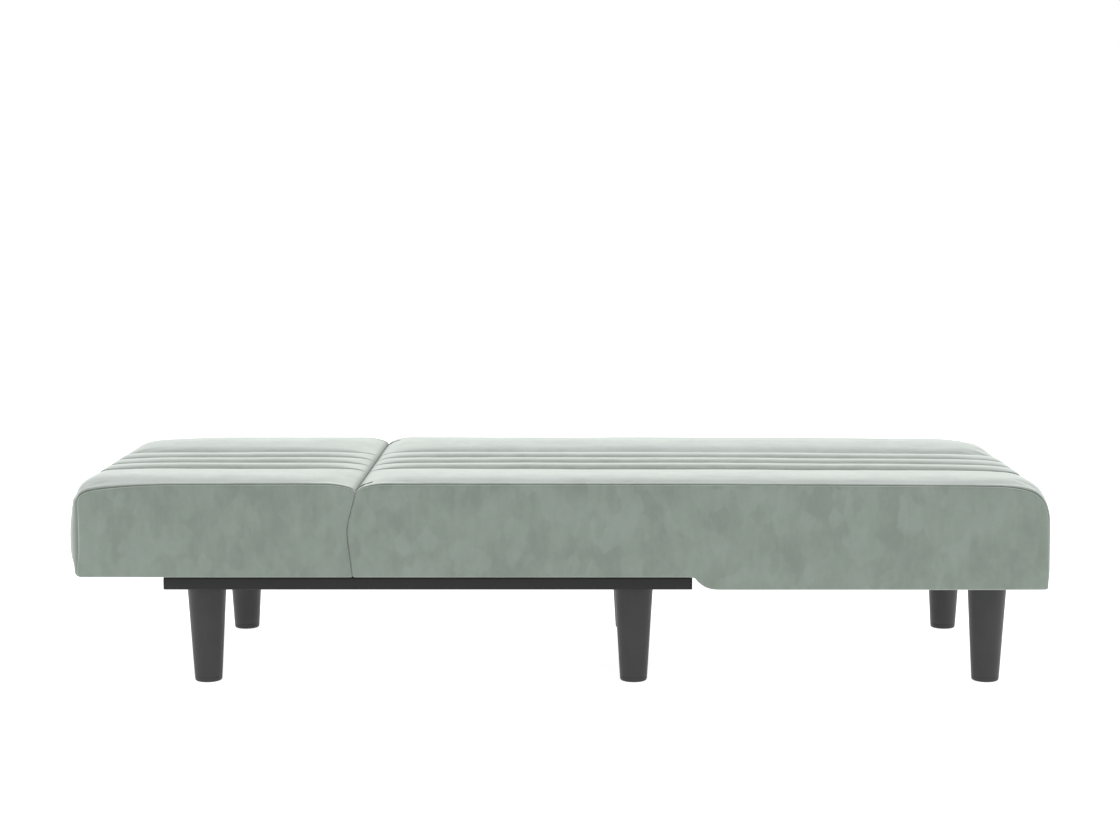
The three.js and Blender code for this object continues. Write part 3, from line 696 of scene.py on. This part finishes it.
    def add_side_panel(self, ring, y):
        """Fills the flat middle of a side panel with even triangles inside its edge ring."""
        border = np.array([(self.vertices[i][0], self.vertices[i][2]) for i in ring])
        tree = kdtree.KDTree(len(border))
        for index, (x, z) in enumerate(border):
            tree.insert((x, z, 0), index)
        tree.balance()
        pitch = 9 * MM
        low, high = border.min(0), border.max(0)
        inner = []
        for j, z in enumerate(np.arange(low[1], high[1], pitch * 0.87)):
            for x in np.arange(low[0] + (pitch / 2 if j % 2 else 0), high[0], pitch):
                if tree.find((x, z, 0))[2] > pitch * 0.65 and is_inside(border, x, z):
                    inner.append((x, z))
        points = [Vector(p) for p in [*border, *inner]]
        edges = [(i, (i + 1) % len(border)) for i in range(len(border))]
        found = geometry.delaunay_2d_cdt(points, edges, [], 1, 1e-7)
        index_of = {}
        for new, old in enumerate(found[3]):
            if old and old[0] < len(ring):
                index_of[new] = ring[old[0]]
            else:
                index_of[new] = len(self.vertices)
                self.vertices.append((found[0][new].x, y, found[0][new].y))
                self.pinned.append(False)
                self.painted_shades.append(0.0)
        self.faces.extend(tuple(index_of[i] for i in triangle) for triangle in found[2])


def edge_painted_shade(d):
    """How much painted shade a point gets in the edge seam's groove, from its distance to the side.
    """
    width = 1.6 * MM if d > 6.4 * MM else 1.0 * MM
    return 0.85 * math.exp(-((d - 6.4 * MM) / width) ** 2)


def is_inside(outline, x, z):
    """Whether a point is inside a closed outline, by counting the edges to its right."""
    x1, z1 = outline[:, 0], outline[:, 1]
    x2, z2 = np.roll(x1, -1), np.roll(z1, -1)
    crosses = (z1 > z) != (z2 > z)
    span = np.where(crosses, z2 - z1, 1)
    return bool(np.sum(crosses & (x < x1 + (z - z1) * (x2 - x1) / span)) % 2)


CLOTH_FRAMES = 20
CLOTH_CAP = 2.4 * MM


def coordinates(mesh):
    flat = np.empty(len(mesh.vertices) * 3, np.float32)
    mesh.vertices.foreach_get("co", flat)
    return flat.reshape(-1, 3)


def inflate(piece, pinned):
    """Blows the cover up a little with the seams held, so that it fills and dimples as cloth."""
    group = piece.vertex_groups.new(name="held")
    group.add([i for i, held in enumerate(pinned) if held], 1.0, "REPLACE")
    modifier = piece.modifiers.new("Cloth", "CLOTH")
    cloth = modifier.settings
    cloth.quality = 4
    cloth.mass = 0.25
    cloth.tension_stiffness = 12
    cloth.compression_stiffness = 12
    cloth.shear_stiffness = 6
    cloth.bending_stiffness = 0.6
    cloth.use_pressure = True
    cloth.uniform_pressure_force = 4
    cloth.vertex_group_mass = "held"
    cloth.effector_weights.gravity = 0
    modifier.point_cache.frame_start = 1
    modifier.point_cache.frame_end = CLOTH_FRAMES
    start = coordinates(piece.data)
    scene = bpy.context.scene
    for frame_number in range(1, CLOTH_FRAMES + 1):
        scene.frame_set(frame_number)
    view = bpy.context.evaluated_depsgraph_get()
    blown = coordinates(piece.evaluated_get(view).data)
    piece.modifiers.remove(modifier)
    piece.vertex_groups.remove(group)
    scene.frame_set(1)
    move = blown - start
    size = np.linalg.norm(move, axis=1, keepdims=True)
    capped = CLOTH_CAP * np.tanh(size / CLOTH_CAP)
    move *= np.where(size > 1e-9, capped / np.maximum(size, 1e-9), 0)
    piece.data.vertices.foreach_set("co", (start + move).astype(np.float32).ravel())
    piece.data.update()


def soften(piece, skin, seed):
    """Hand-made unevenness: slow waves in the padding, puckers by the seams and full sides."""
    mesh = piece.data
    mesh.update()
    middle_x = (skin.crease_x + skin.end_x) / 2
    half_length = abs(skin.end_x - skin.crease_x) / 2
    side_y = HALF_WIDTH - PANEL_INSET
    moves = []
    for vertex in mesh.vertices:
        p, n = vertex.co, vertex.normal
        slow = noise.noise(Vector((p.x * 7 + seed, p.y * 7, p.z * 7)))
        quick = noise.noise(Vector((p.x * 24, p.y * 24 + seed, p.z * 24)))
        amount = 0.7 * MM * slow + 0.3 * MM * quick
        if n.z < -0.6 or abs(p.x - skin.crease_x) < 12 * MM:
            amount = 0
        if abs(n.y) > 0.6:
            across = 1 - min(1, abs((p.x - middle_x) / half_length)) ** 6
            up = 1 - min(1, abs((p.z - SIDE_MIDDLE_Z) / SIDE_HALF_HEIGHT)) ** 3
            amount += SIDE_SWELL * across * max(0, up)
        to_seam = min(abs(p.y - seam) for seam in skin.seams)
        to_edge = abs(abs(p.y) - side_y)
        if n.z > 0.2:
            wave = noise.noise(Vector((p.x * 58, round(p.y * 12), seed)))
            amount += 0.5 * MM * wave * math.exp(-(to_seam / (8 * MM)) ** 2)
            wave = noise.noise(Vector((p.x * 45, seed, p.z * 10)))
            amount += 0.45 * MM * wave * math.exp(-(to_edge / (11 * MM)) ** 2)
        moves.append(n * amount)
    for vertex, move in zip(mesh.vertices, moves):
        vertex.co += move
    mesh.update()


def subdivide(piece):
    """One level of subdivision, kept as mesh."""
    piece.modifiers.new("Subdivision", "SUBSURF").levels = 1
    view = bpy.context.evaluated_depsgraph_get()
    smooth = bpy.data.meshes.new_from_object(piece.evaluated_get(view))
    piece.modifiers.clear()
    old = piece.data
    piece.data = smooth
    bpy.data.meshes.remove(old)
    smooth.name = piece.name


def make_cushion(name, body, cover_node, crease_x, end_x, stepped, seed):
    skin = Skin(crease_x, end_x, stepped)
    skin.build_rows()
    piece = make_object(name, skin.vertices, skin.faces, "velvet")
    face_outwards(piece)
    # The painted shade weights go into a point attribute that the velvet material reads.
    piece.data.attributes.new("painted_shade", "FLOAT", "POINT").data.foreach_set("value", skin.painted_shades)
    inflate(piece, skin.pinned)
    soften(piece, skin, seed)
    subdivide(piece)
    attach(piece, body)
    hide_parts(cover_node)


# ---------------------------------------------------------------- foam blocks

FOAM_TOP = 7 * MM
FOAM_SIDE = 9 * MM
FOAM_END = 22 * MM
FOAM_ROUND_LENGTH = 70 * MM
FOAM_ROUND_DROP = 36 * MM
FOAM_BOTTOM_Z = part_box("seat_rail_near")[1].z + 4.5 * MM
SLOT_CLEARANCE = 1.2 * MM


def foam_loop(crease_x, end_x):
    """The foam's outline above the springs: rounded to the crease and to the outer end."""
    length = abs(end_x - crease_x) - FOAM_END
    direction = 1 if end_x > crease_x else -1
    top = TOP_Z - SEAM_DROP - FOAM_TOP
    start = FOAM_SIDE
    shoulder = top - FOAM_ROUND_DROP
    round_u = length - FOAM_ROUND_LENGTH
    crease_z = top - CREASE_DROP
    crease_u = CREASE_LENGTH + 4 * MM
    points = straight((length, FOAM_BOTTOM_Z), (length, shoulder), 12 * MM)
    points += ellipse_arc((round_u, shoulder), length - round_u, top - shoulder, 0, 90, 14)
    points += straight((round_u, top), (crease_u, top), 22 * MM)
    points += ellipse_arc((crease_u, crease_z), crease_u - start, top - crease_z, 90, 180, 10)
    points += straight((start, crease_z), (start, FOAM_BOTTOM_Z), 12 * MM)
    points += straight((start, FOAM_BOTTOM_Z), (length, FOAM_BOTTOM_Z), 22 * MM)
    loop = np.array(points)
    loop[:, 0] = crease_x + direction * loop[:, 0]
    return loop if direction > 0 else loop[::-1]


def make_foam(name, body, node, crease_x, end_x, pocket):
    """A block of cut foam with soft edges, and a slot on each side for the hinge plates."""
    loop = foam_loop(crease_x, end_x)
    normals = loop_normals(loop)
    direction = 1 if end_x > crease_x else -1
    half = HALF_WIDTH - FOAM_SIDE
    slot_inner, slot_outer = POCKET_INNER - SLOT_CLEARANCE, POCKET_OUTER + SLOT_CLEARANCE
    stations = [(half - 4 * MM * (1 - math.cos(a)), 4 * MM * (1 - math.sin(a)))
                for a in np.linspace(0, math.pi / 2, 5)]
    stations += [(slot_outer + LIP, 0), (slot_outer, 0), (slot_inner, 0), (slot_inner - LIP, 0)]
    stations += [(y, 0) for y in np.linspace(220 * MM, 0, 12)]
    line_up = [(-y, inset) for y, inset in stations] + [(y, i) for y, i in stations[-2::-1]]
    rings = []
    for y, inset in line_up:
        in_slot = slot_inner - LIP / 4 < abs(y) < slot_outer + LIP / 4
        ring = []
        for point, normal in zip(loop, normals):
            x, z = point - normal * inset
            if in_slot and abs(x - crease_x) < pocket + SLOT_CLEARANCE:
                x = crease_x + direction * (pocket + SLOT_CLEARANCE)
            ring.append((x, y, z))
        rings.append(ring)
    piece = make_object(name, *rings_to_mesh(rings, False), "foam", smooth=False)
    finish_piece(piece, body, node)


def make_upholstery():
    make_cushion("seat_cushion_cover", "seat", "seat_cover", SEAT_LOW.x, SEAT_HIGH.x, True, 3.7)
    make_cushion("head_cushion_cover", "head", "head_cover", HEAD_HIGH.x, HEAD_LOW.x, False, 11.2)
    make_foam("seat_foam_block", "seat", "seat_foam", SEAT_LOW.x, SEAT_HIGH.x, SEAT_POCKET)
    make_foam("head_foam_block", "head", "head_foam", HEAD_HIGH.x, HEAD_LOW.x, HEAD_POCKET)


make_upholstery()


# ---------------------------------------------------------------- underside linings

LINING_EDGE = 1.2 * MM
LINING_RISE = 0.5 * MM
LINING_SAG = 2.6 * MM
STAPLE_SPACING = 42 * MM
STAPLE_WIDTH = 11 * MM
STAPLE_WIRE = 0.55 * MM


def lining_height(x, stepped):
    """Height of the lining's edge: level under each part of the frame, sloping at the step."""
    if not stepped:
        return SECTION_Z + LINING_RISE
    t = smoothstep(np.float64(x), STEP_START - 2 * MM, STEP_END + 2 * MM)
    return SECTION_Z + LINING_RISE - (SECTION_Z - LOW_Z) * t


def sag_between(x, supports):
    for start, end in zip(supports, supports[1:]):
        if start <= x <= end:
            return math.sin(math.pi * (x - start) / (end - start)) ** 1.3
    return 0.0


def make_lining(name, body, node, start_x, end_x, supports, stepped, seed):
    """A sheet of lining stapled along its edges, hanging slightly between the supports."""
    half = HEM_Y - LINING_EDGE
    xs = np.linspace(start_x, end_x, max(2, round((end_x - start_x) / (9 * MM))))
    ys = np.linspace(-half, half, 57)
    vertices = []
    for x in xs:
        base = lining_height(x, stepped)
        hang = sag_between(x, supports)
        for y in ys:
            across = max(0.0, 1 - (y / half) ** 2) ** 0.8
            ripple = noise.noise(Vector((x * 14, y * 14, seed)))
            pull = noise.noise(Vector((x * 40, y * 12, seed + 5)))
            drop = LINING_SAG * across * (0.75 + 0.5 * ripple) + 0.35 * MM * pull * across
            vertices.append((x, y, base - max(0.0, drop) * hang))
    count = len(ys)
    faces = []
    for i in range(len(xs) - 1):
        for j in range(count - 1):
            a, b = i * count + j, (i + 1) * count + j
            faces.append((a, a + 1, b + 1, b))
    piece = make_object(name, vertices, faces, "underside_lining")
    piece.modifiers.new("Solidify", "SOLIDIFY").thickness = -0.5 * MM
    view = bpy.context.evaluated_depsgraph_get()
    piece.data = bpy.data.meshes.new_from_object(piece.evaluated_get(view))
    piece.modifiers.clear()
    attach(piece, body)
    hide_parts(node)
    return xs, half


def tube_along(path, radius, sides=6):
    """Vertices and faces of a closed wire along a path of points, with flat ends."""
    path = [Vector(p) for p in path]
    rings = []
    for index, point in enumerate(path):
        before, after = path[max(index - 1, 0)], path[min(index + 1, len(path) - 1)]
        along = (after - before).normalized()
        across = along.orthogonal() if abs(along.z) > 0.9 else along.cross(Vector((0, 0, 1)))
        across.normalize()
        up = across.cross(along)
        turns = [2 * math.pi * i / sides for i in range(sides)]
        rings.append([point + (across * math.cos(a) + up * math.sin(a)) * radius for a in turns])
    return rings_to_mesh(rings, False)


def join(parts):
    vertices, faces = [], []
    for more_vertices, more_faces in parts:
        offset = len(vertices)
        vertices += more_vertices
        faces += [tuple(i + offset for i in face) for face in more_faces]
    return vertices, faces


def staple(x, y, z, turn):
    """A crown staple seen from below: a bowed wire whose legs go up into the timber."""
    half = STAPLE_WIDTH / 2
    shape = [(-half, 2.2), (-half, 0.4), (-half + 0.6 * MM, -0.1), (-half / 2, -0.3),
             (half / 2, -0.3), (half - 0.6 * MM, -0.1), (half, 0.4), (half, 2.2)]
    path = [(x + s * math.cos(turn), y + s * math.sin(turn), z + rise * MM) for s, rise in shape]
    return tube_along(path, STAPLE_WIRE)


def make_staples(name, body, xs, half, stepped, seed):
    parts = []
    start_x, end_x = xs[0] + 6 * MM, xs[-1] - 6 * MM
    along = round((end_x - start_x) / STAPLE_SPACING)
    for i in range(along + 1):
        x = start_x + (end_x - start_x) * i / along
        if stepped and STEP_START - 6 * MM < x < STEP_END + 8 * MM:
            continue
        for side in (NEAR, FAR):
            tilt = 0.35 * noise.noise(Vector((x * 31, side, seed)))
            z = lining_height(x, stepped) - STAPLE_WIRE
            parts.append(staple(x, side * (half - 5 * MM), z, tilt))
    across = round((2 * half - 40 * MM) / STAPLE_SPACING)
    for i in range(across + 1):
        y = -half + 20 * MM + (2 * half - 40 * MM) * i / across
        for x in (start_x, end_x):
            tilt = math.pi / 2 + 0.35 * noise.noise(Vector((y * 31, x, seed)))
            parts.append(staple(x, y, lining_height(x, stepped) - STAPLE_WIRE, tilt))
    finish_piece(make_object(name, *join(parts), "spring_steel"), body)


def make_linings():
    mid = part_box("base_cross_bar_mid")
    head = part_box("base_cross_bar_head")
    leg_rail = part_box("seat_leg_rail")
    seat_start = SEAT_LOW.x + HEM + 2 * LINING_EDGE
    seat_end = SEAT_HIGH.x - HEM - END_PULL - 2 * LINING_EDGE
    seat_supports = [seat_start, mid[0].x, mid[1].x, STEP_START - 20 * MM, STEP_END + 10 * MM,
                     leg_rail[0].x - 8 * MM, seat_end]
    edge = make_lining("seat_lining", "seat", "seat_dust_cover", seat_start, seat_end,
                       seat_supports, True, 2.0)
    make_staples("seat_lining_staples", "seat", *edge, True, 2.0)
    head_start = HEAD_LOW.x + HEM + END_PULL + 2 * LINING_EDGE
    head_end = HEAD_HIGH.x - HEM - 2 * LINING_EDGE
    head_supports = [head_start, head[0].x - 4 * MM, head[1].x + 4 * MM, head_end]
    edge = make_lining("head_lining", "head", "head_dust_cover", head_start, head_end,
                       head_supports, False, 7.0)
    make_staples("head_lining_staples", "head", *edge, False, 7.0)


make_linings()


# ---------------------------------------------------------------- legs

def lathe(profile, sides=64):
    """Vertices and faces of a turned solid whose profile starts and ends on the axis."""
    vertices = [Vector((0, 0, profile[0][1]))]
    rings = profile[1:-1]
    for radius, z in rings:
        for i in range(sides):
            a = 2 * math.pi * i / sides
            vertices.append(Vector((radius * math.cos(a), radius * math.sin(a), z)))
    vertices.append(Vector((0, 0, profile[-1][1])))
    last = len(vertices) - 1
    faces = []
    for i in range(sides):
        j = (i + 1) % sides
        faces.append((0, 1 + j, 1 + i))
        for ring in range(len(rings) - 1):
            a, b = 1 + ring * sides, 1 + (ring + 1) * sides
            faces.append((a + i, a + j, b + j, b + i))
        top = 1 + (len(rings) - 1) * sides
        faces.append((top + i, top + j, last))
    return vertices, faces


def leg_profile():
    """A tapered leg: rounded foot, a fine turned line near each end, and the stud's hole."""
    foot, top, length = 20 * MM, 29 * MM, 149 * MM
    soft = 2.6 * MM
    bore, bore_bottom = 4.3 * MM, 117.7 * MM

    def radius_at(z):
        return foot + (top - foot) * z / length

    profile = [(0, 0), (foot - soft - 6 * MM, 0), (foot - soft, 0)]
    for a in np.linspace(15, 90, 6):
        profile.append((foot - soft + soft * math.sin(math.radians(a)),
                        soft - soft * math.cos(math.radians(a))))
    for line_z in (8 * MM, length - 7 * MM):
        for offset, depth in ((-1.1, 0), (-0.5, 0.12), (0, 0.45), (0.5, 0.12), (1.1, 0)):
            z = line_z + offset * MM
            profile.append((radius_at(z) - depth * MM, z))
        if line_z < length / 2:
            profile += [(radius_at(z), z) for z in np.linspace(20 * MM, 135 * MM, 9)]
    for a in np.linspace(0, 90, 5):
        profile.append((radius_at(length) - 1.2 * MM * (1 - math.cos(math.radians(a))),
                        length - 1.2 * MM * (1 - math.sin(math.radians(a)))))
    profile += [(top - 6 * MM, length), (bore + 1 * MM, length), (bore, length - 0.6 * MM),
                (bore, bore_bottom), (0, bore_bottom)]
    return profile


def make_legs():
    for place in ("head", "mid", "foot"):
        for side_name in SIDES:
            node = f"leg_{place}_{side_name}"
            low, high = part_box(node)
            centre = Vector(((low.x + high.x) / 2, (low.y + high.y) / 2, 0))
            vertices, faces = lathe(leg_profile())
            piece = make_object(f"turned_{node}", [v + centre for v in vertices], faces,
                                "black_plastic")
            finish_piece(piece, "seat", node)


make_legs()


# ---------------------------------------------------------------- tube base

TUBE_CORNER = 2.2 * MM
TUBE_WALL = 1.5 * MM


def rounded_square(half, radius, steps=5):
    points = []
    for corner in range(4):
        centre = math.radians(45 + 90 * corner)
        cx = math.copysign(half - radius, math.cos(centre))
        cy = math.copysign(half - radius, math.sin(centre))
        for i in range(steps):
            a = math.radians(90 * corner + 90 * i / (steps - 1))
            points.append((cx + radius * math.cos(a), cy + radius * math.sin(a)))
    return points


def tube_mesh(low, high, axis):
    """A square steel tube with rounded corners and open ends, along x or y."""
    centre = (low + high) / 2
    half = (high.z - low.z) / 2
    outer, inner = rounded_square(half, TUBE_CORNER), rounded_square(half - TUBE_WALL, 0.8 * MM)
    soft = 0.35 * MM
    start, end = low[axis], high[axis]
    places = [(start + soft, outer), (start, rounded_square(half - soft, TUBE_CORNER)),
              (start, inner), (end, inner), (end, rounded_square(half - soft, TUBE_CORNER)),
              (end - soft, outer)]
    spans = np.linspace(end - soft, start + soft, 12)[1:-1]
    places += [(x, outer) for x in spans]
    rings = []
    for along, section in places:
        ring = []
        for a, b in section:
            point = Vector((0, 0, centre.z + b))
            point[axis] = along
            point[1 - axis] = centre[1 - axis] + a
            ring.append(point)
        rings.append(ring)
    return rings_to_mesh(rings, True)


def cap_mesh(low, high, outward):
    """A moulded end cap: a domed flange the size of the tube, and its plug with two fins."""
    centre = (low + high) / 2
    half = (high.z - low.z) / 2
    face = high.x if outward > 0 else low.x
    sections = [(14, half - 2.6 * MM), (12.6, half - 1.9 * MM), (8, half - 1.9 * MM),
                (7.4, half - 1.7 * MM), (6.6, half - 1.7 * MM), (6, half - 1.9 * MM),
                (2.05, half - 1.9 * MM), (2, half - 0.2 * MM), (1.8, half), (0.7, half),
                (0.25, half - 0.35 * MM), (0, half - 1.1 * MM), (0, half - 4 * MM)]
    rings = []
    for depth, size in sections:
        section = rounded_square(size, min(TUBE_CORNER, size * 0.4))
        rings.append([Vector((face - outward * depth * MM, centre.y + a, centre.z + b))
                      for a, b in section])
    return rings_to_mesh(rings, False)


def make_weld(bar_node, cross_node, side):
    """A rippled weld bead round the end of a cross bar, where it meets the long bar."""
    cross_low, cross_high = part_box(cross_node)
    bar_low, bar_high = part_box(bar_node)
    wall = bar_low.y if side > 0 else bar_high.y
    centre = (cross_low + cross_high) / 2
    half = (cross_high.z - cross_low.z) / 2 - 0.6 * MM
    parts = []
    for x in (centre.x - half - 0.6 * MM, centre.x + half + 0.6 * MM):
        path, radii = [], []
        for i in range(40):
            t = i / 39
            ripple = 0.22 * MM * math.sin(i * 2.1)
            path.append((x, wall - side * (0.7 * MM + ripple * 0.5), centre.z + half * (2 * t - 1)))
            radii.append(1.25 * MM * min(1, 4 * t + 0.4, 4 * (1 - t) + 0.4) + ripple)
        vertices, faces = tube_along(path, 1.0, 8)
        for index, vertex in enumerate(vertices):
            middle = Vector(path[index // 8])
            vertices[index] = middle + (vertex - middle) * radii[index // 8]
        parts.append((vertices, faces))
    return parts


def make_base():
    welds = []
    for side_name, side in SIDES.items():
        node = f"base_bar_{side_name}"
        piece = make_object(f"square_tube_{side_name}", *tube_mesh(*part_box(node), 0), "black_steel")
        finish_piece(piece, "seat", node)
        for end_name, outward in (("head", -1), ("foot", 1)):
            node = f"base_bar_cap_{end_name}_{side_name}"
            cap = make_object(f"tube_cap_{end_name}_{side_name}",
                              *cap_mesh(*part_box(node), outward), "black_plastic")
            finish_piece(cap, "seat", node)
        for cross in ("head", "mid"):
            welds += make_weld(f"base_bar_{side_name}", f"base_cross_bar_{cross}", side)
    finish_piece(make_object("base_weld_beads", *join(welds), "black_steel"), "seat")


make_base()


# ---------------------------------------------------------------- screws under the leg plates

def screw_mesh(x, y, z, turn):
    """A pan-head screw seen from below, with a cross recess cut as a shallow star."""
    head, rise = 3.6 * MM, 1.9 * MM
    profile = [(0, -rise), (0.8 * MM, -rise), (1.9 * MM, -rise * 0.97), (2.9 * MM, -rise * 0.8),
               (3.4 * MM, -rise * 0.5), (head, -rise * 0.12), (head, 0), (0, 0)]
    vertices, faces = lathe(profile, 16)
    for index, vertex in enumerate(vertices):
        ring = (index - 1) // 16
        arm = (index - 1) % 4 == 0
        if index == 0 or ring == 0 or (ring == 1 and arm):
            vertex.z += 1.0 * MM
    spin = np.array([[math.cos(turn), -math.sin(turn)], [math.sin(turn), math.cos(turn)]])
    turned = []
    for vertex in vertices:
        a, b = spin @ np.array([vertex.x, vertex.y])
        turned.append(Vector((x + a, y + b, z + vertex.z)))
    return turned, faces


def make_plate_screws():
    reach = 24.5 * MM
    parts = []
    for place in ("head", "mid", "foot"):
        for side_name in SIDES:
            low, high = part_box(f"leg_plate_{place}_{side_name}")
            x, y = (low.x + high.x) / 2, (low.y + high.y) / 2
            for dx in (-reach, reach):
                for dy in (-reach, reach):
                    parts.append(screw_mesh(x + dx, y + dy, low.z, (x + dx) * 37 + dy * 91))
    finish_piece(make_object("leg_plate_screws", *join(parts), "zinc_steel"), "seat")


make_plate_screws()


# ---------------------------------------------------------------- looks of the CAD nodes

def dress_cad_nodes():
    slots = {s["node"]: s["material_slot"] for s in frame["record"]["subparts"]}
    for name, node in frame["nodes"].items():
        node.data.materials.clear()
        node.data.materials.append(MATERIALS[slots[name]])


dress_cad_nodes()


# ---------------------------------------------------------------- floor, light and camera

SENSOR = 36.0
LENS = 68.7793
CAMERA_SHIFT = -0.0160714
CAMERA_PLACE = (0.025, -3.3002, 0.7502)
CAMERA_PITCH = 6.63
FLOOR_REACH = 9.0
SOFTBOX_PLACE = (0.1, 3.4, 2.1)
SOFTBOX_AIM = (0, 0, 0.3)
SOFTBOX_SIZE = (4.5, 1.2)
SOFTBOX_POWER = 112


def add_floor():
    corners = [(-1, -1), (1, -1), (1, 1), (-1, 1)]
    floor = make_object("floor", [(x * FLOOR_REACH, y * FLOOR_REACH, 0) for x, y in corners],
                        [(0, 1, 2, 3)], None, smooth=False)
    material, tree, shader = new_material("floor_white")
    feed(tree, shader, {
        "Base Color": (0.5, 0.5, 0.5, 1),
        "Roughness": 0.9,
        "Specular IOR Level": 0.0,
        "Emission Color": (1, 1, 1, 1),
        "Emission Strength": 0.9,
    })
    floor.data.materials.append(material)


def add_area_light(name, place, aim, size, power):
    light = bpy.data.lights.new(name, "AREA")
    light.shape = "RECTANGLE"
    light.size, light.size_y = size
    light.energy = power
    lamp = bpy.data.objects.new(name, light)
    lamp.location = place
    lamp.rotation_euler = (Vector(aim) - Vector(place)).to_track_quat("-Z", "Y").to_euler()
    bpy.context.scene.collection.objects.link(lamp)


def add_lights():
    world = bpy.data.worlds.new("studio")
    world.use_nodes = True
    feed(world.node_tree, world.node_tree.nodes["Background"],
         {"Color": (1, 1, 1, 1), "Strength": 1.0})
    bpy.context.scene.world = world
    add_area_light("back_softbox", SOFTBOX_PLACE, SOFTBOX_AIM, SOFTBOX_SIZE, SOFTBOX_POWER)


def add_camera():
    data = bpy.data.cameras.new("camera")
    data.sensor_width = SENSOR
    data.lens = LENS
    data.shift_x = CAMERA_SHIFT
    camera = bpy.data.objects.new("camera", data)
    camera.location = CAMERA_PLACE
    camera.rotation_euler = (math.radians(90 - CAMERA_PITCH), 0, 0)
    bpy.context.scene.collection.objects.link(camera)
    bpy.context.scene.camera = camera
    bpy.context.scene.view_settings.view_transform = "Standard"


add_floor()
add_lights()
add_camera()
